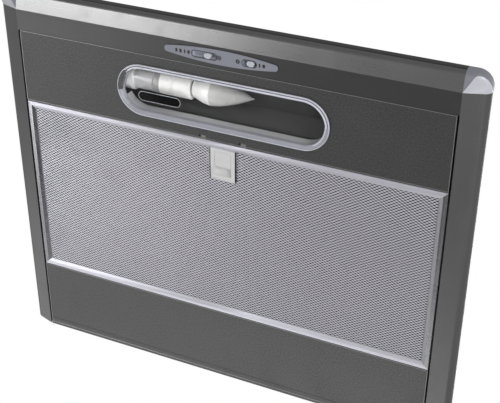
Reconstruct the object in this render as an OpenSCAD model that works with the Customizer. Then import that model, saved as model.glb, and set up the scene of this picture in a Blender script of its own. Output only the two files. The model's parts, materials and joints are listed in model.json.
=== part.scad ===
// Slim kitchen range hood, seen and used from below.
// X runs left to right as seen from the front, Y runs back to the wall at y = 0, Z is up.
// The flat underside lies at z = 0 and the origin is the middle of the wall face's lower edge.

/* [Hood] */
// Overall width
hood_w = 600; // [560:1:900]
// Height of the body above the flat underside
hood_h = 150; // [140:1:190]
// Thickness of the sheet metal
sheet = 1; // [0.8:0.1:1.2]
// Height of the upright flanges inside the tray
flange_h = 12; // [11:0.5:14]

/* [Underside] */
// Depth of the turned-in flange at the wall
rear_flange_d = 11.5; // [9:0.5:16]
// Depth of the rear panel
rear_panel_d = 91.5; // [80:0.5:110]
// Depth of the grease filter
filter_d = 246; // [230:1:260]
// Depth of the lamp panel
lamp_panel_d = 92.3; // [85:0.1:110]
// Depth of the flat front lip
lip_d = 26.2; // [22:0.1:30]
// Gap beside the panels and the filter
side_gap = 2.3; // [1.5:0.1:3]
// Gap in front of the grease filter
front_gap = 1.3; // [0.8:0.1:2]
// Gap behind the grease filter
rear_gap = 0.7; // [0.5:0.1:1.2]
// Gap of the other seams
seam_gap = 0.4; // [0.3:0.05:0.8]

/* [Rim] */
// Height of the rim above the flat underside
rim_h = 22; // [21:0.5:26]
// Depth of the front nose
nose_w = 22.5; // [20:0.5:26]
// Slope of the front nose in degrees
nose_slope = 14; // [10:1:16]
// Radius of the front nose
nose_r = 8; // [6:0.5:9]
// Width of each side strip
strip_w = 28.1; // [25:0.1:32]
// Slope of the side strips in degrees
strip_slope = 18; // [12:1:19]
// Radius of the side strips
strip_r = 11; // [8:0.5:11.5]
// Radius that rolls the rim over at the top
roll_r = 4; // [3:0.5:5]
// Plan radius of the corner caps
corner_r = 18; // [14:0.5:20]
// Wall of the corner caps
cap_wall = 2; // [1.5:0.1:2.5]

/* [Canopy] */
// Depth of the upper box at its foot
box_foot_d = 300; // [280:1:320]
// Depth of the upper box at its top
box_top_d = 272; // [255:1:279]
// Height of the visor above its front edge
visor_rise = 30; // [28:0.5:34]
// Depth of the steep front of the visor
visor_run = 42; // [38:1:50]
// Height of the foot of the upper box
box_foot_h = 66; // [60:1:72]
// Inset of the upper box at each side
box_inset = 42; // [38:1:46]
// Inset of the shoulder at each side
shoulder_inset = 38; // [34:1:42]
// Height of the shoulder
shoulder_h = 50; // [44:1:54]

/* [Lens] */
// Length of the lens
lens_l = 268.3; // [240:0.1:290]
// Width of the lens
lens_w = 66; // [60:0.5:68]
// Thickness of the lens
lens_t = 1.4; // [1.2:0.1:1.8]
// How far the lens stands below the panel
lens_drop = 2.2; // [2:0.1:3]
// Clearance around the lens plug
lens_gap = 0.5; // [0.4:0.05:0.8]
// Height of the lamp housing
lamp_box_h = 47; // [42:0.5:48]
// Largest diameter of the candle lamp
lamp_d = 35; // [30:0.5:36]
// Height of the lamp's axis
lamp_z = 22; // [21:0.5:24]

/* [Controls] */
// Length of the control plate
plate_l = 140; // [125:1:160]
// Width of the control plate
plate_w = 18; // [15:0.5:20]
// Length of the fan slot
fan_slot_l = 31; // [26:0.5:34]
// Length of the light slot
light_slot_l = 17; // [15:0.5:20]
// Width of both slots
slot_w = 7.4; // [6:0.1:9]
// Length of both knobs
knob_l = 8.8; // [7:0.1:10]
// Clearance of the knobs in their slots
knob_gap = 0.5; // [0.3:0.05:0.8]

/* [Filter] */
// Thickness of the grease filter
filter_t = 9; // [8.6:0.1:10]
// Visible width of the filter rails
rail_w = 9.4; // [8:0.1:11]
// Thickness of the filter frame's sheet
rail_sheet = 0.8; // [0.6:0.1:0.8]
// Distance of the hinge tabs from the middle
tab_x = 180; // [150:1:210]
// Width of the hinge tabs
tab_w = 22; // [16:1:30]
// Columns of openings in each aluminium mesh
mesh_columns = 24; // [12:1:24]
// Rows of openings in each aluminium mesh
mesh_rows = 12; // [6:1:12]

/* [Latch] */
// Width of the latch plate
latch_w = 33.5; // [30:0.5:40]
// Length of the latch plate
latch_l = 41.2; // [38:0.2:48]
// Width of the button
button_w = 21; // [18:0.5:24]
// Length of the button
button_l = 19; // [16:0.5:20]
// Length of the finger recess behind the button
recess_l = 12; // [10:0.5:13]
// Travel of the latch
latch_travel = 5; // [4:0.5:5]
// Width of each latch tongue
tongue_w = 8.2; // [6:0.2:10]
// Distance between the middles of the tongues
tongue_span = 51.4; // [48:0.2:56]
// Clearance of the latch in its plate
latch_gap = 0.3; // [0.25:0.05:0.4]

/* [Blower] */
// Radius of the impeller
impeller_r = 48; // [44:0.5:49]
// Length of the impeller
impeller_l = 84; // [76:1:86]
// Number of impeller blades
blade_count = 40; // [24:1:44]
// Outside width of the blower housing
scroll_w = 92; // [90:1:96]
// Wall of the blower housing
scroll_wall = 1.8; // [1.5:0.1:2.2]
// Least gap between impeller and housing
scroll_gap = 4; // [3:0.5:5]
// Growth of the scroll over its turn
scroll_growth = 13; // [10:0.5:14]
// Radius of the two inlets
inlet_r = 41; // [38:0.5:42]
// Radius of the motor
motor_r = 30; // [26:0.5:31]
// Radius of the motor shaft
shaft_r = 4; // [3:0.5:5]

/* [Outlet] */
// Outer radius of the duct collar
collar_r = 60; // [58:0.5:60]
// Height of the duct collar above the body
collar_h = 40; // [36:1:60]
// Wall of the duct collar
collar_wall = 2.5; // [2:0.1:3]
// Distance of the collar's axis from the wall
outlet_back = 130; // [126:1:134]
// Radius of the damper pin
pin_r = 1.5; // [1.2:0.1:2]
// Running clearance of the damper flaps on the pin
pin_gap = 0.08; // [0.05:0.01:0.1]
// Thickness of the damper flaps
flap_t = 1.2; // [1:0.1:1.5]

/* [Fixing] */
// Spacing of the cabinet screws from left to right
cabinet_x = 440; // [400:1:460]
// Spacing of the cabinet screws from front to back
cabinet_y = 180; // [160:1:200]
// Radius of the cabinet screw holes
cabinet_hole_r = 3; // [2.5:0.1:3.5]
// Spacing of the wall screws
wall_x = 460; // [400:1:480]
// Height of the wall screws
wall_z = 120; // [110:1:130]
// Radius of the wall screw holes
wall_hole_r = 4; // [3:0.1:5]
// Radius of the bore for the mains cord
cord_r = 4.25; // [3.5:0.05:5]
// Clearance between seated pieces
seat_gap = 0.3; // [0.2:0.05:0.4]

/* [Hidden] */
$fn = 64;
far = 1000;
cut = 1;

// Lines across the underside, as distances from the wall
panel_rear = rear_flange_d + seam_gap;
panel_front = panel_rear + rear_panel_d;
filter_rear = panel_front + rear_gap;
filter_front = filter_rear + filter_d;
lamp_rear = filter_front + front_gap;
lamp_front = lamp_rear + lamp_panel_d;
lip_rear = lamp_front + seam_gap;
lip_front = lip_rear + lip_d;
hood_d = lip_front + nose_w;

// Lines from the middle to the side
fold_x = hood_w / 2 - strip_w;
panel_x = fold_x - side_gap;
ledge_w = 17;
ledge_x = fold_x - ledge_w;
lug_w = 14;
joggle_x = panel_x - lug_w - 4;
joggle_d = 6;

// Canopy outlines
brim_inset = 8;
brim_w = 10;
brim_d = hood_d - brim_inset;
brim_x = hood_w / 2 - brim_inset;
canopy_front_d = brim_d - brim_w;
canopy_side_x = brim_x - brim_w;
box_x = hood_w / 2 - box_inset;
shoulder_x = hood_w / 2 - shoulder_inset;
corner_round = 9;
end_x = box_x - corner_round - 4;
top_seam = box_top_d - corner_round;
cabinet_back = cabinet_y / 2 + 50;

// Screws
screw_r = 1.9;
screw_hole_r = 2.1;
screw_head_r = 3.6;
screw_head_h = 2;
screw_reach = 6;

// Lens and lamp
lens_x = -2.4;
lens_back = lamp_rear + 46.3;
plug_inset = 4.5;
plug_top = 5;
clip_step = 62.5;
clip_half = 6.3;
housing_wall = 0.8;
wall_x0 = -142;
wall_x1 = 137;
lamp_back = lens_back + 6;
cup_r = 16.5;
cup_neck_r = 14.5;
cup_l = 20;
sleeve_r = 15;
sleeve_l = 46;
socket_r = 9;
socket_l = 28;
lamp_foot_r = 6.9;
lamp_l = 79;
bulge_l = 26;
sleeve_x = wall_x0 + cup_l + 28;
label_l = 54.5;
label_w = 11;

// Controls
plate_x = -1.5;
plate_back = lip_rear + lip_d / 2 + 0.9;
plate_t = 1.6;
plate_end_r = 4;
fan_slot_x = -20.5;
light_slot_x = 34.5;
fan_knob_x = -16.5;
light_knob_x = 36.2;
stem_l = 4;
switch_h = 17;

// Latch
latch_x = -0.25;
latch_front = filter_front - rail_w;
window_front = latch_front - 4;
button_front = window_front - latch_gap;
button_rear = button_front - button_l;
recess_rear = button_rear - recess_l;
bar_z0 = 4.8;
bar_z1 = 7;
bar_w = 5;
bar_front = button_front - 0.7;
bar_rear = bar_front - bar_w;
spring_rear = button_rear - 7.2 + latch_travel;
lug_t = 1.6;
pack_z0 = 2.5;
foil = 0.6;
pack_z1 = filter_t - rail_sheet - 0.2;
rivet_r = 1.6;
rivet_spread = 6;
tab_t = 1.2;
rivets_at = [
  for (s = [-1, 1], d = [-rivet_spread, rivet_spread]) [s * tab_x + d, -filter_rear - 3.5, filter_t]
];

// Blower
collar_inner_r = collar_r - collar_wall;
scroll_r0 = impeller_r + scroll_gap;
scroll_r1 = scroll_r0 + scroll_growth + 4;
blower_y = -outlet_back + scroll_r1 - 30;
blower_z = rim_h + scroll_r0 + 4;
scroll_top = hood_h - sheet;
tongue_y = -outlet_back + 28;
blower_flange_t = 2.5;
flange_x = 84;
flange_y = 84;
flange_screw_y = 74;
boss_r = 5;
boss_l = 8;
inlet_collar = 2.5;
bracket_x = -scroll_w / 2 - inlet_collar;
guard_t = 2;

// Outlet
collar_flange_r = 73;
collar_flange_t = 2.5;
collar_screw_r = 67;
pin_z = hood_h + 10;
knuckle_r = pin_r + 1.8;
flap_r = collar_inner_r - 1.5;
knuckle_w = 14;
knuckle_step = 22;

// Electrics
gland_x = hood_w / 2 - 95;
gland_y = -60;
gland_r = cord_r + 3.4;
gland_head_r = 11;
terminal_x = 38;
terminal_y = 34;
terminal_wall = 2;
box_z0 = hood_h - sheet - 38;
cap_x = 150;
cap_y = -200;
cap_r = 14;
cap_l = 52;
cap_z = hood_h - sheet - cap_r - 4;

function unit(v) = v / norm(v);
function right_of(p, q) = let (d = unit(q - p)) [d[1], -d[0]];
function shift_point(p, i, t) =
  let (a = i > 0 ? right_of(p[i - 1], p[i]) : right_of(p[i], p[i + 1]))
  let (b = i < len(p) - 1 ? right_of(p[i], p[i + 1]) : a)
  p[i] + (a + b) * (t / (1 + a * b));
// A path moved to its right by t
function shifted(p, t) = [for (i = [0:len(p) - 1]) shift_point(p, i, t)];
// The outline of a bent strip with one side on the path and the other to its right by t
function strip(p, t) = let (q = shifted(p, t)) concat(p, [for (i = [len(q) - 1:-1:0]) q[i]]);
function arc(x, y, r, a0, a1, n = 8) = [
  for (i = [0:n]) let (a = a0 + (a1 - a0) * i / n) [x + r * cos(a), y + r * sin(a)]
];
// A rounded rim from its fold outwards: a slope, a tight curve and a rolled top edge
function rim(w, slope, r, t = 0) =
  let (x = w - r)
  let (z = x * tan(slope) + r / cos(slope))
  concat(
    [[-t * tan(slope / 2), t]],
    arc(x, z, r - t, 270 + slope, 360),
    arc(w - roll_r, rim_h - roll_r, roll_r - t, 0, 90, 5)
  );
function scroll_radius(a) = scroll_r0 + scroll_growth * a / 270;
function scroll_point(a, t) =
  let (r = scroll_radius(a) + t)
  [blower_y + r * sin(a), blower_z + r * cos(a)];
// The blower's spiral in y and z, from the cut-off over the back and under to the front
function scroll(t) = [for (a = [0:10:270]) scroll_point(a, t)];

// A flat shape in y and z, drawn out from x0 to x1
module along_x(x0, x1) {
  translate([x0, 0, 0]) rotate([90, 0, 90]) linear_extrude(x1 - x0) children();
}
// A flat shape in x and z, drawn out from y0 to y1
module along_y(y0, y1) {
  translate([0, y1, 0]) rotate([90, 0, 0]) linear_extrude(y1 - y0) children();
}
// A flat shape in x and y, drawn out from z0 to z1
module along_z(z0, z1) {
  translate([0, 0, z0]) linear_extrude(z1 - z0) children();
}
module box(x0, x1, y0, y1, z0, z1) {
  translate([x0, y0, z0]) cube([x1 - x0, y1 - y0, z1 - z0]);
}
module both_sides() {
  children();
  mirror([1, 0, 0]) children();
}
module stadium(l, w) {
  square([l - w, w], center = true);
  for (s = [-1, 1]) translate([s * (l - w) / 2, 0]) circle(w / 2);
}
module ring(r_out, r_in, h) {
  difference() {
    cylinder(r = r_out, h = h);
    translate([0, 0, -cut]) cylinder(r = r_in, h = h + 2 * cut);
  }
}
// A pan-head screw whose head sits on z = 0 and whose shank points down
module screw(l) {
  cylinder(r = screw_head_r, h = screw_head_h);
  translate([0, 0, -l]) cylinder(r = screw_r, h = l + cut);
}
module screw_hole(r = screw_hole_r) {
  translate([0, 0, -screw_reach]) cylinder(r = r, h = 2 * screw_reach);
}

// Places of the sheet-metal screws
rim_screws = concat(
  [for (x = [-200, 0, 200]) [x, -brim_d + brim_w / 2, rim_h + sheet]],
  [for (s = [-1, 1], y = [-400, -220, -40]) [s * (brim_x - brim_w / 2), y, rim_h + sheet]]
);
ledge_screws = [
  for (s = [-1, 1], y = [-lamp_front + 14, -lamp_rear - 14, -panel_front + 14, -panel_rear - 14])
    [s * (panel_x - 7), y, flange_h + sheet]
];
blower_screws = [
  for (s = [-1, 1], y = [-flange_screw_y, flange_screw_y])
    [s * (flange_x - 7), -outlet_back + y, scroll_top - blower_flange_t]
];
collar_screws_at = [
  for (a = [25, 155, 205, 335]) [collar_screw_r * cos(a), collar_screw_r * sin(a) - outlet_back, scroll_top]
];
housing_screws_at = concat(
  [for (a = [60, 130, 215]) scroll_point(a, scroll_wall + boss_r - 1)],
  [for (z = [-18, -45]) [scroll_point(270, scroll_wall + boss_r - 1)[0], hood_h + z]]
);

// Sheet-metal body

function canopy_profile() = concat(
  [[-canopy_front_d, rim_h + sheet],
  [-canopy_front_d + visor_run, rim_h + visor_rise],
  [-box_foot_d, box_foot_h]],
  arc(-box_top_d + corner_round, hood_h - corner_round, corner_round, 166, 90, 4),
  [[cut, hood_h]]
);
function canopy_section() = concat(
  [[-canopy_side_x, rim_h + sheet], [-shoulder_x, shoulder_h]],
  arc(-box_x + corner_round, hood_h - corner_round, corner_round, 177, 90, 4)
);
module canopy_form(t, low) {
  side = shifted(canopy_profile(), t);
  end = shifted(canopy_section(), t);
  intersection() {
    along_x(-far / 2, far / 2)
      polygon(concat([[side[0][0], low]], side, [[cut, low]]));
    along_y(-far, cut)
      polygon(concat([[end[0][0], low]], end, [for (i = [len(end) - 1:-1:0]) [-end[i][0], end[i][1]]],
        [[-end[0][0], low]]));
  }
}
module brim_outline() {
  translate([-brim_x, -canopy_front_d]) square([2 * brim_x, canopy_front_d]);
  translate([-canopy_side_x, -brim_d]) square([2 * canopy_side_x, brim_w + cut]);
  for (s = [-1, 1]) translate([s * canopy_side_x, -canopy_front_d]) circle(brim_w);
}
module canopy_sheet() {
  difference() {
    union() {
      canopy_form(0, rim_h);
      along_z(rim_h, rim_h + sheet) brim_outline();
    }
    canopy_form(sheet, rim_h - cut);
    box(-far, far, 0, far, 0, far);
    translate([0, -outlet_back, scroll_top - cut]) cylinder(r = collar_flange_r + 0.5, h = 10);
    translate([gland_x, gland_y, scroll_top - cut]) cylinder(r = gland_head_r + 0.5, h = 10);
    for (p = concat(rim_screws, blower_screws)) translate(p) screw_hole();
    for (sx = [-1, 1], sy = [-1, 1])
      translate([sx * cabinet_x / 2, -cabinet_back + sy * cabinet_y / 2, hood_h]) screw_hole(cabinet_hole_r);
  }
}
// The folded front sheet: brim, visor and the front of the upper box
module canopy() {
  color("silver") intersection() {
    canopy_sheet();
    box(-end_x, end_x, -far, -top_seam, 0, far);
  }
}
// The flat top, welded to the front sheet and to both ends
module canopy_top() {
  color("silver") intersection() {
    canopy_sheet();
    box(-end_x, end_x, -top_seam, far, 0, far);
  }
}
module canopy_end_right() {
  color("silver") intersection() {
    canopy_sheet();
    box(end_x, far, -far, far, 0, far);
  }
}
module canopy_end_left() {
  mirror([1, 0, 0]) canopy_end_right();
}

module rear_plate() {
  end = shifted(canopy_section(), sheet + 0.1);
  color("silver") difference() {
    union() {
      along_y(-sheet, 0) union() {
        polygon(concat(end, [for (i = [len(end) - 1:-1:0]) [-end[i][0], end[i][1]]]));
        translate([-fold_x - 1.5, 0]) square([2 * fold_x + 3, rim_h + sheet + cut]);
      }
      box(-panel_x, panel_x, -rear_flange_d, 0, 0, sheet);
    }
    both_sides() box(fold_x - 1.5, far, -far, far, -cut, rim_h + seat_gap);
    both_sides() box(ledge_x - 1, far, -far, far, flange_h - seat_gap, flange_h + sheet + seat_gap);
    for (s = [-1, 1])
      translate([s * wall_x / 2, 0, wall_z]) rotate([90, 0, 0])
        cylinder(r = wall_hole_r, h = 10, center = true);
  }
}

module front_profile() {
  path = concat([[lip_d, flange_h], [lip_d, 0]], [for (p = rim(nose_w, nose_slope, nose_r)) [-p[0], p[1]]],
    [[-nose_w + 16, rim_h]]);
  color("silver") difference() {
    translate([0, -lip_front, 0]) along_x(-fold_x, fold_x) polygon(strip(path, sheet));
    along_z(-cut, flange_h / 2) {
      translate([fan_slot_x, -plate_back]) square([fan_slot_l + 1, slot_w + 1], center = true);
      translate([light_slot_x, -plate_back]) square([light_slot_l + 1, slot_w + 1], center = true);
    }
    for (p = rim_screws) translate(p) screw_hole();
  }
}

module side_strip_right() {
  path = concat([[-ledge_w, flange_h], [0, flange_h]], rim(strip_w, strip_slope, strip_r),
    [[strip_w - 20, rim_h]]);
  color("silver") difference() {
    translate([fold_x, 0, 0]) along_y(-lip_front, 0) polygon(strip(path, -sheet));
    for (p = concat(rim_screws, ledge_screws)) translate(p) screw_hole();
    box(0, fold_x - seam_gap, -lip_front - cut, -lip_rear + sheet + seam_gap, -cut, far);
  }
}
module side_strip_left() {
  mirror([1, 0, 0]) side_strip_right();
}

// The outside of a corner cap, moved inwards by t
module cap_form(t) {
  front = rim(nose_w, nose_slope, nose_r, t);
  side = rim(strip_w, strip_slope, strip_r, t);
  back = -10;
  tilt = 35;
  puck_r = 10;
  puck_z = rim_h - roll_r - cut;
  intersection() {
    translate([0, -lip_front, 0]) along_x(fold_x - 5, hood_w)
      polygon([for (p = concat([[back, t]], front, [[back, rim_h - t]])) [-p[0], p[1]]]);
    translate([fold_x, 0, 0]) along_y(-hood_d - 5, -lip_front + 5)
      polygon(concat([[back, t]], side, [[back, rim_h - t]]));
    translate([hood_w / 2 - corner_r, -hood_d + corner_r, 0]) union() {
      rotate_extrude() polygon(concat(
        [[0, puck_z - puck_r / cos(tilt) - (corner_r - puck_r) * tan(tilt) + t]],
        arc(corner_r - puck_r, puck_z, puck_r - t, 270 + tilt, 360, 6),
        arc(corner_r - roll_r, rim_h - roll_r, roll_r - t, 0, 90, 5),
        [[0, rim_h - t]]
      ));
      box(-far / 10, corner_r, 0, far / 10, -cut, rim_h);
      box(-far / 10, 0, -corner_r, far / 10, -cut, rim_h);
    }
  }
}
module corner_cap_right() {
  lug_l = 12;
  lug_z0 = 13;
  lug_z1 = rim_h - sheet - seat_gap;
  color("lightsteelblue") {
    intersection() {
      difference() {
        cap_form(0);
        cap_form(cap_wall);
      }
      box(fold_x, far, -far, -lip_front, -cut, far);
    }
    box(fold_x - lug_l, fold_x + 4, -hood_d + 8, -hood_d + 14, lug_z0, lug_z1);
    box(hood_w / 2 - 16, hood_w / 2 - 9, -lip_front - 4, -lip_front + lug_l, lug_z0, lug_z1);
  }
}
module corner_cap_left() {
  mirror([1, 0, 0]) corner_cap_right();
}

// Underside panels

// Lugs that carry a panel under the side ledges
module panel_lugs(y0, y1) {
  both_sides() {
    box(panel_x - sheet, panel_x, y0, y1, 0, flange_h);
    box(panel_x - lug_w, panel_x, y0, y1, flange_h - sheet, flange_h);
  }
}
module rear_panel() {
  color("silver") difference() {
    union() {
      box(-panel_x, panel_x, -panel_front, -panel_rear, 0, sheet);
      box(-panel_x, panel_x, -panel_front, -panel_front + sheet, 0, flange_h);
      panel_lugs(-panel_front, -panel_rear);
      translate([0, -panel_rear, 0]) {
        box(-joggle_x, joggle_x, -joggle_d, joggle_d + 2, sheet + 0.1, 2 * sheet + 0.1);
        box(-joggle_x, joggle_x, -joggle_d, -joggle_d + 1, 0, 2 * sheet);
      }
    }
    for (s = [-1, 1]) translate([s * tab_x, -panel_front, 0])
      box(-tab_w / 2 - 2, tab_w / 2 + 2, -cut, 3, sheet + 0.6, flange_h + cut);
    for (p = ledge_screws) translate(p) screw_hole();
  }
}
module lamp_panel() {
  tongue_z = bar_z1 + 0.4;
  color("dimgray") difference() {
    union() {
      box(-panel_x, panel_x, -lamp_front, -lamp_rear, 0, sheet);
      box(-panel_x, panel_x, -lamp_front, -lamp_front + sheet, 0, flange_h - seam_gap);
      box(-panel_x, panel_x, -lamp_rear - sheet, -lamp_rear, 0, flange_h - seam_gap);
      panel_lugs(-lamp_front, -lamp_rear);
    }
    along_z(-cut, sheet + cut) translate([lens_x, -lens_back])
      stadium(lens_l - 2 * plug_inset + 2 * lens_gap, lens_w - 2 * plug_inset + 2 * lens_gap);
    for (s = [-1, 1])
      translate([latch_x + s * tongue_span / 2, 0, 0])
        box(-tongue_w / 2 - 0.6, tongue_w / 2 + 0.6, -lamp_rear - 4, -lamp_rear + cut, -cut, tongue_z);
    for (p = ledge_screws) translate(p) screw_hole();
  }
}

// Lamp

module lamp_housing() {
  wall = housing_wall;
  y0 = -lens_back - lens_w / 2 - 3;
  y1 = -lens_back + lens_w / 2 + 3;
  color("gray") difference() {
    union() {
      box(wall_x0, wall_x1, y0, y1, sheet, lamp_box_h);
      box(wall_x0 - 7, wall_x1 + 7, y0 - 3, y1 + 3, sheet, sheet + wall);
    }
    box(wall_x0 + wall, wall_x1 - wall, y0 + wall, y1 - wall, 0, lamp_box_h - wall);
    translate([wall_x0 - cut, -lamp_back, lamp_z]) rotate([0, 90, 0]) cylinder(r = 2.5, h = 3);
  }
}
module lamp_reflector() {
  y1 = -lens_back + lens_w / 2 + 1.9;
  z1 = lamp_box_h - 1.1;
  path = [[y1, sheet + 0.1], [y1, z1 - 14], [y1 - 20, z1], [y1 - 52, z1]];
  color("whitesmoke") along_x(wall_x0 + 3, wall_x1 - 3) polygon(strip(path, -0.5));
}
module lamp_cup() {
  color("gainsboro") {
    translate([wall_x0 + housing_wall, -lamp_back, lamp_z]) rotate([0, 90, 0]) cylinder(r = cup_r, h = cup_l);
    translate([wall_x0 + cup_l, -lamp_back, lamp_z]) rotate([0, 90, 0])
      cylinder(r = cup_neck_r, h = sleeve_x - wall_x0 - cup_l);
  }
}
module lamp_holder() {
  color("white") translate([sleeve_x, -lamp_back, lamp_z]) rotate([0, 90, 0]) difference() {
    cylinder(r = sleeve_r, h = sleeve_l);
    translate([0, 0, sleeve_l - socket_l]) cylinder(r = socket_r, h = sleeve_l);
  }
}
module candle_lamp() {
  r = lamp_d / 2;
  shoulder_r = 11;
  color("ivory") translate([sleeve_x + sleeve_l, -lamp_back, lamp_z]) rotate([0, 90, 0]) {
    translate([0, 0, 1 - socket_l]) cylinder(r = lamp_foot_r, h = socket_l);
    rotate_extrude() polygon(concat(
      [[0, 0.2], [shoulder_r, 0.2]],
      [for (i = [1:14]) let (u = i / 14) [shoulder_r + (r - shoulder_r) * sin(90 * u), 0.2 + bulge_l * u]],
      [for (i = [1:18]) let (u = i / 18)
        [r * pow(cos(90 * u), 0.8) * (1 - 0.25 * u), bulge_l + (lamp_l - bulge_l) * u]]
    ));
  }
}

// Lens

module lens() {
  z0 = -lens_drop;
  l = lens_l - 2 * plug_inset;
  w = lens_w - 2 * plug_inset;
  color("aliceblue", 0.5) translate([lens_x, -lens_back, 0]) {
    along_z(z0, z0 + lens_t) stadium(lens_l, lens_w);
    along_z(z0, -seat_gap) difference() {
      stadium(lens_l, lens_w);
      stadium(lens_l - 4, lens_w - 4);
    }
    along_z(z0, plug_top) difference() {
      stadium(l, w);
      stadium(l - 2 * lens_t, w - 2 * lens_t);
    }
    for (i = [-1.5:1:1.5], s = [-1, 1])
      translate([i * clip_step + s * clip_half, -w / 2, plug_top - 1.6]) cube([3, 0.9, 2.4], center = true);
  }
}
module lens_label() {
  color("black") translate([lens_x - 78.3, -lens_back + 6.8, -lens_drop + lens_t])
    linear_extrude(0.25) stadium(label_l, label_w);
}

// Controls

// A long shape whose two bowed sides run into round ends
module plate_outline() {
  end_x = plate_l / 2 - plate_end_r;
  r = (end_x * end_x + plate_w * plate_w / 4 - plate_end_r * plate_end_r) / (plate_w - 2 * plate_end_r);
  bow_x = end_x * r / (r - plate_end_r);
  translate([plate_x, -plate_back]) {
    intersection() {
      square([2 * bow_x, plate_w], center = true);
      translate([0, r - plate_w / 2]) circle(r, $fn = 720);
      translate([0, plate_w / 2 - r]) circle(r, $fn = 720);
    }
    for (s = [-1, 1]) translate([s * end_x, 0]) circle(plate_end_r);
  }
}
module control_plate() {
  color("lightsteelblue") difference() {
    along_z(-plate_t, 0) plate_outline();
    along_z(-plate_t - cut, cut) {
      translate([fan_slot_x, -plate_back]) stadium(fan_slot_l, slot_w);
      translate([light_slot_x, -plate_back]) stadium(light_slot_l, slot_w);
    }
  }
}
module switch_body(x, l) {
  color("dimgray") translate([x, -plate_back, 0]) difference() {
    box(-l / 2 - 7, l / 2 + 7, -plate_w / 2, plate_w / 2, sheet, switch_h);
    box(-l / 2, l / 2, -slot_w / 2, slot_w / 2, 0, switch_h / 2);
  }
}
module fan_switch() {
  switch_body(fan_slot_x, fan_slot_l);
}
module light_switch() {
  switch_body(light_slot_x, light_slot_l);
}
module knob(x) {
  knob_w = slot_w - 2 * knob_gap;
  color("lightgray") translate([x, -plate_back, 0]) {
    along_z(-plate_t - 0.9, 2) stadium(knob_l, knob_w);
    box(-stem_l / 2, stem_l / 2, -1.5, 1.5, 0, 8);
    box(-0.6, 0.6, -knob_w / 2, knob_w / 2, -plate_t - 1.5, 0);
  }
}
module fan_knob() {
  knob(fan_knob_x);
}
module light_knob() {
  knob(light_knob_x);
}

// Grease filter

// A filter rail of length l whose mitred ends lap a little into the next rail
module rail(l) {
  s = rail_sheet;
  lap = 0.05;
  path = [[7, filter_t], [0, filter_t], [0, 0.5], [0.5, 0], [5, 0], [rail_w, 1.6]];
  intersection() {
    along_x(-l / 2, l / 2) polygon(strip(path, -s));
    linear_extrude(filter_t)
      polygon([[-l / 2 - lap, 0], [l / 2 + lap, 0], [l / 2 + lap - 12, 12], [-l / 2 - lap + 12, 12]]);
  }
}
module filter_frame() {
  mid = -(filter_front + filter_rear) / 2;
  color("lightgray") difference() {
    union() {
      translate([0, -filter_front, 0]) rail(2 * panel_x);
      translate([0, -filter_rear, 0]) rotate(180) rail(2 * panel_x);
      translate([-panel_x, mid, 0]) rotate(-90) rail(filter_d);
      translate([panel_x, mid, 0]) rotate(90) rail(filter_d);
    }
    for (s = [-1, 1]) translate([latch_x + s * tongue_span / 2, -filter_front, 0])
      box(-tongue_w / 2 - 0.5, tongue_w / 2 + 0.5, -cut, 2, bar_z0 - 0.4, bar_z1 + 0.4);
    for (p = rivets_at) translate(p) cylinder(r = rivet_r + 0.05, h = 8, center = true);
  }
}
module pack_plate(z0, z1, edge, latch_cut) {
  difference() {
    box(-panel_x + edge, panel_x - edge, -filter_front + edge, -filter_rear - edge, z0, z1);
    if (latch_cut)
      translate([latch_x, 0, 0]) box(-34, 34, -filter_front, -recess_rear - 2, z0 - cut, z1 + cut);
    box(latch_x - latch_w / 2 - 0.3, latch_x + latch_w / 2 + 0.3, -filter_front, -latch_front + latch_l + 0.3,
      z0 - cut, z1 + cut);
    for (p = rivets_at) translate(p) cylinder(r = 3, h = 8, center = true);
  }
}
module mesh_plate(z0, latch_cut) {
  px = 2 * (panel_x - 12) / mesh_columns;
  py = (filter_d - 24) / mesh_rows;
  mid = -(filter_front + filter_rear) / 2;
  intersection() {
    pack_plate(z0, z0 + foil, 2, latch_cut);
    along_z(z0, z0 + foil) difference() {
      translate([0, mid]) square([2 * panel_x, filter_d], center = true);
      for (i = [0:mesh_columns - 1], j = [0:mesh_rows - 1])
        translate([(i + 0.5 - mesh_columns / 2) * px, mid + (j + 0.5 - mesh_rows / 2) * py])
          polygon([[-px * 0.42, 0], [0, -py * 0.4], [px * 0.42, 0], [0, py * 0.4]]);
    }
  }
}
module filter_mesh_lower() {
  color("silver") mesh_plate(pack_z0, false);
}
module filter_pad() {
  color("darkgray") pack_plate(pack_z0 + foil, pack_z1 - foil, 4, true);
}
module filter_mesh_upper() {
  color("silver") mesh_plate(pack_z1 - foil, true);
}
module filter_tabs() {
  hook_y = -panel_front + 8;
  color("silver") difference() {
    for (s = [-1, 1]) translate([s * tab_x, 0, 0]) {
      box(-tab_w / 2, tab_w / 2, -filter_rear - 7, hook_y, filter_t, filter_t + tab_t);
      box(-tab_w / 2, tab_w / 2, hook_y - 1, hook_y, filter_t - 2, filter_t + tab_t);
    }
    for (p = rivets_at) translate(p) cylinder(r = rivet_r + 0.05, h = 8, center = true);
  }
}
module tab_rivets() {
  color("gray") for (p = rivets_at) translate(p) {
    translate([0, 0, -2]) cylinder(r = rivet_r, h = 2.2 + tab_t);
    translate([0, 0, tab_t]) cylinder(r = rivet_r + 1.2, h = 0.9);
    translate([0, 0, -2]) cylinder(r = rivet_r + 0.8, h = 1.1);
  }
}

// Latch

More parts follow.
